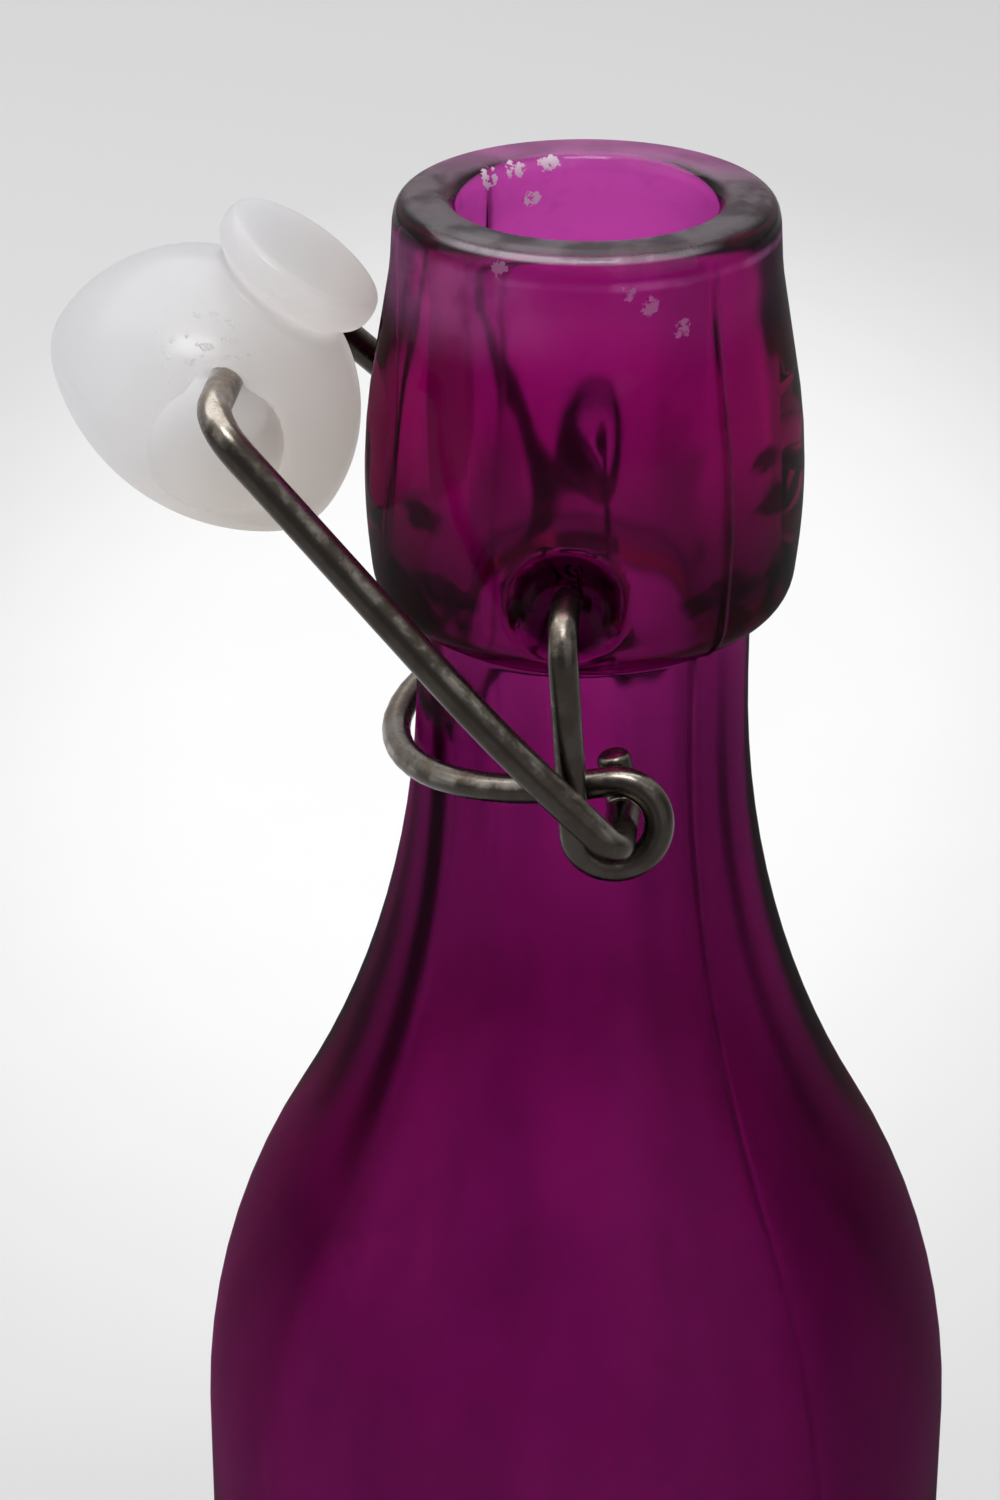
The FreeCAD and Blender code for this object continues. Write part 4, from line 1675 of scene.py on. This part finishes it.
@dataclass(frozen=True)
class SteelFinish:
    """Dull drawn wire, browned in patches, with painted shade on the sides that face down and to the front,
    fine scratches and dark specks.
    """

    bright: Colour = tone(0.40, 0.365, 0.32)
    brown: Colour = tone(0.24, 0.19, 0.15)
    # colour of the painted shade on the sides facing down and to the front; the dark specks share it
    painted_shade: Colour = tone(0.030, 0.025, 0.022)
    painted_shade_way: Place = (0.25, -0.60, -0.76)
    painted_shade_ends: Point = (-0.45, 0.28)
    painted_shade_rag: float = 0.12
    painted_shade_most: float = 0.92
    patch_scale: float = 420.0
    speck_scale: float = 2600.0
    speck_share: float = 0.5
    polish: float = 0.22
    brown_haze: float = 0.12
    scratch_scale: float = 3200.0
    scratch_strength: float = 0.10
    scratch_depth: float = 0.05 * MM

    def spray(self, piece: bpy.types.Object) -> None:
        """Note on a wire how far each place faces the side where shade is painted.

        Args:
            piece: the wire.
        """
        mesh = piece.data
        facing = mesh.attributes.new("painted_shade", "FLOAT", "POINT")
        way = Vector(self.painted_shade_way).normalized()
        for vertex in mesh.vertices:
            facing.data[vertex.index].value = vertex.normal.dot(way)

    def material(self) -> bpy.types.Material:
        """Mix the finish.

        Returns:
            The wire's material.
        """
        material, desk, shader, place = blank(Slot.STEEL.value)
        patches, specks = desk.wear(place, self.patch_scale, self.speck_scale)
        # painted shade where the wire faces down and to the front, ragged by the patches
        rag = desk.ramp(patches, WHOLE, (-self.painted_shade_rag, self.painted_shade_rag))
        under = desk.math("ADD", desk.attribute("painted_shade"), rag)
        shaded = desk.ramp(under, self.painted_shade_ends, (0.0, self.painted_shade_most))
        shade_and_specks = desk.math("MAXIMUM", shaded, desk.math("MULTIPLY", specks, self.speck_share))
        colour = desk.mix(shade_and_specks, desk.mix(patches, self.bright, self.brown), self.painted_shade)
        rough = desk.math("ADD", desk.math("MULTIPLY", patches, self.brown_haze), self.polish)
        scratches = desk.noise(place, self.scratch_scale, detail=4.0, roughness=0.7)
        normal = desk.bump(scratches, self.scratch_strength, self.scratch_depth)
        desk.feed(shader, Base_Color=colour, Roughness=rough, Normal=normal, Metallic=1.0)
        return material


@dataclass(frozen=True)
class PlasticFinish:
    """Pearly translucent plastic, bluish at the crown's far edge, creamy towards the hole and scuffed."""

    pearl: Colour = tone(0.93, 0.94, 0.965)
    cream: Colour = tone(0.96, 0.915, 0.86)
    translucence: float = 0.75
    ior: float = 2.1
    cream_way: Place = (0.823, -0.2, -0.568)
    cream_ends: Point = (-132 * MM, -106 * MM)
    cloud: float = 0.12
    patch_scale: float = 110.0
    speck_scale: float = 1100.0
    gloss: Point = (0.18, 0.27)
    scuff_place: Place = (-0.0252, -0.0108, 0.1798)
    scuff_reach: Point = (7 * MM, 3 * MM)
    scuff_height: float = 1.6
    wave_scale: float = 160.0
    wave_height: float = 0.17
    relief_strength: float = 0.7
    relief_height: float = 0.1 * MM

    def material(self) -> bpy.types.Material:
        """Mix the finish.

        Returns:
            The stopper's material.
        """
        material, desk, shader, place = blank(Slot.PLASTIC.value)
        patches, specks = desk.wear(place, self.patch_scale, self.speck_scale)
        lean = desk.ramp(desk.span("DOT_PRODUCT", place, self.cream_way), self.cream_ends)
        cloud = desk.ramp(patches, WHOLE, (-self.cloud, self.cloud))
        colour = desk.mix(desk.math("ADD", lean, cloud, clamp=True), self.pearl, self.cream)
        rough = desk.ramp(patches, WHOLE, self.gloss)
        scuffed = desk.ramp(desk.span("DISTANCE", place, self.scuff_place), self.scuff_reach)
        scuffs = desk.fold("MULTIPLY", specks, scuffed, self.scuff_height)
        waves = desk.noise(place, self.wave_scale, detail=2.0, roughness=0.4)
        relief = desk.math("ADD", desk.math("MULTIPLY", waves, self.wave_height), scuffs)
        normal = desk.bump(relief, self.relief_strength, self.relief_height)
        desk.feed(shader, Base_Color=colour, Roughness=rough, IOR=self.ior, Normal=normal)
        inside = desk.mix(lean, self.pearl, self.cream)
        glow = desk.feed(desk.add("ShaderNodeBsdfTranslucent"), Color=inside, Normal=normal)
        desk.show(desk.blend(self.translucence, shader, glow))
        return material


@dataclass(frozen=True)
class FloorFinish:
    """A pale studio floor with a painted pool of light behind the bottle, greying away from it."""

    pale: Colour = tone(0.88, 0.88, 0.88)
    falloff_and_grain_grey: Colour = tone(0.65, 0.65, 0.65)
    light_pool_place: Place = (-0.034, 0.326, 0.0)
    light_pool_size: Place = (0.1415, 0.2763, 1.0)
    light_pool_ends: Point = (0.33, 1.02)
    grain_scale: float = 40.0
    grain_ends: Point = (0.3, 0.7)
    grain_most: float = 0.03
    roughness: float = 0.9

    def material(self) -> bpy.types.Material:
        """Mix the finish.

        Returns:
            The floor's material.
        """
        material, desk, shader, place = blank("pale_floor")
        # painted pool of light: paler near its middle, greyer further out
        light_pool = desk.add("ShaderNodeMapping", vector_type="TEXTURE")
        desk.feed(light_pool, Vector=place, Location=self.light_pool_place, Scale=self.light_pool_size)
        centre = (0.0, 0.0, 0.0)
        far = desk.ramp(desk.span("DISTANCE", light_pool.outputs["Vector"], centre), self.light_pool_ends)
        grain = desk.noise(place, self.grain_scale, detail=4.0, roughness=0.6)
        spots = desk.ramp(grain, self.grain_ends, (0.0, self.grain_most))
        colour = desk.mix(desk.math("ADD", far, spots, clamp=True), self.pale, self.falloff_and_grain_grey)
        desk.feed(shader, Base_Color=colour, Roughness=self.roughness)
        return material


# Stage


@dataclass(frozen=True)
class Lamp:
    """A soft rectangular lamp that the camera doesn't see."""

    name: str
    place: Place
    aim: Place
    size: Point
    power: float

    def hang(self) -> None:
        """Hang the lamp and point it."""
        Bench.clear()
        bpy.ops.object.light_add(type="AREA", location=self.place)
        lamp = Bench.label(self.name)
        lamp.data.shape = "RECTANGLE"
        lamp.data.size, lamp.data.size_y = self.size
        lamp.data.energy = self.power
        lamp.visible_camera = False
        lamp.rotation_euler = (Vector(self.aim) - Vector(self.place)).to_track_quat("-Z", "Y").to_euler()


@dataclass
class Stage:
    """The floor, the soft lights and the camera."""

    floor_size: float = 8.0
    room: Colour = tone(0.36, 0.36, 0.366)
    camera_place: Place = (0.0223, -0.2840, 0.2821)
    camera_turn: Place = (63.96, 0.0, 5.76)
    lens: float = 98.3
    clip_start: float = 0.01
    lamps: tuple[Lamp, ...] = (
        Lamp("overhead", place=(-0.30, 0.40, 1.25), aim=(0.0, 0.15, 0.0), size=(1.6, 1.6), power=13.8),
        Lamp("front", place=(0.05, -0.50, 1.25), aim=(0.0, 0.0, 0.15), size=(0.55, 0.30), power=3.8),
        Lamp("window", place=(-1.0, -0.45, 0.7), aim=(0.0, 0.0, 0.15), size=(1.2, 1.2), power=2.2),
        Lamp("fill", place=(0.75, -0.75, 0.66), aim=(0.0, 0.0, 0.15), size=(1.2, 1.2), power=2.4),
    )

    def build(self) -> None:
        """Lay the floor, hang the lights and set the camera."""
        self.floor()
        for lamp in self.lamps:
            lamp.hang()
        world = bpy.data.worlds.new("room")
        bpy.context.scene.world = world
        world.use_nodes = True
        background = world.node_tree.nodes["Background"]
        background.inputs["Color"].default_value = self.room
        background.inputs["Strength"].default_value = 1.0
        self.camera()
        bpy.context.scene.view_settings.view_transform = "Standard"

    def floor(self) -> None:
        """Lay the pale floor under the bottle."""
        Bench.clear()
        bpy.ops.mesh.primitive_plane_add(size=self.floor_size, location=(0, 0, 0))
        floor = Bench.label("studio_floor")
        Bench.coat(floor, FloorFinish().material())

    def camera(self) -> None:
        """Stand the camera where the picture was taken from."""
        Bench.clear()
        turn = Euler([math.radians(angle) for angle in self.camera_turn])
        bpy.ops.object.camera_add(location=self.camera_place, rotation=turn)
        camera = bpy.context.object
        camera.data.lens = self.lens
        camera.data.clip_start = self.clip_start
        bpy.context.scene.camera = camera


def main() -> None:
    """Set the stage, then build and dress every piece in order."""
    logging.basicConfig(level=logging.INFO, format="%(message)s")
    Stage().build()
    steel = SteelFinish()
    wire = steel.material()
    bottle = Bottle()
    bottle.dress(bottle.build())
    lever, bail, stopper = Lever(), Bail(), Stopper()
    for part in (lever, bail):
        piece = part.build()
        # note where the painted shade falls on the wire
        steel.spray(piece)
        part.dress(piece, wire)
    stopper.dress(stopper.build(bail.crosspiece()))


if __name__ == "__main__":
    main()
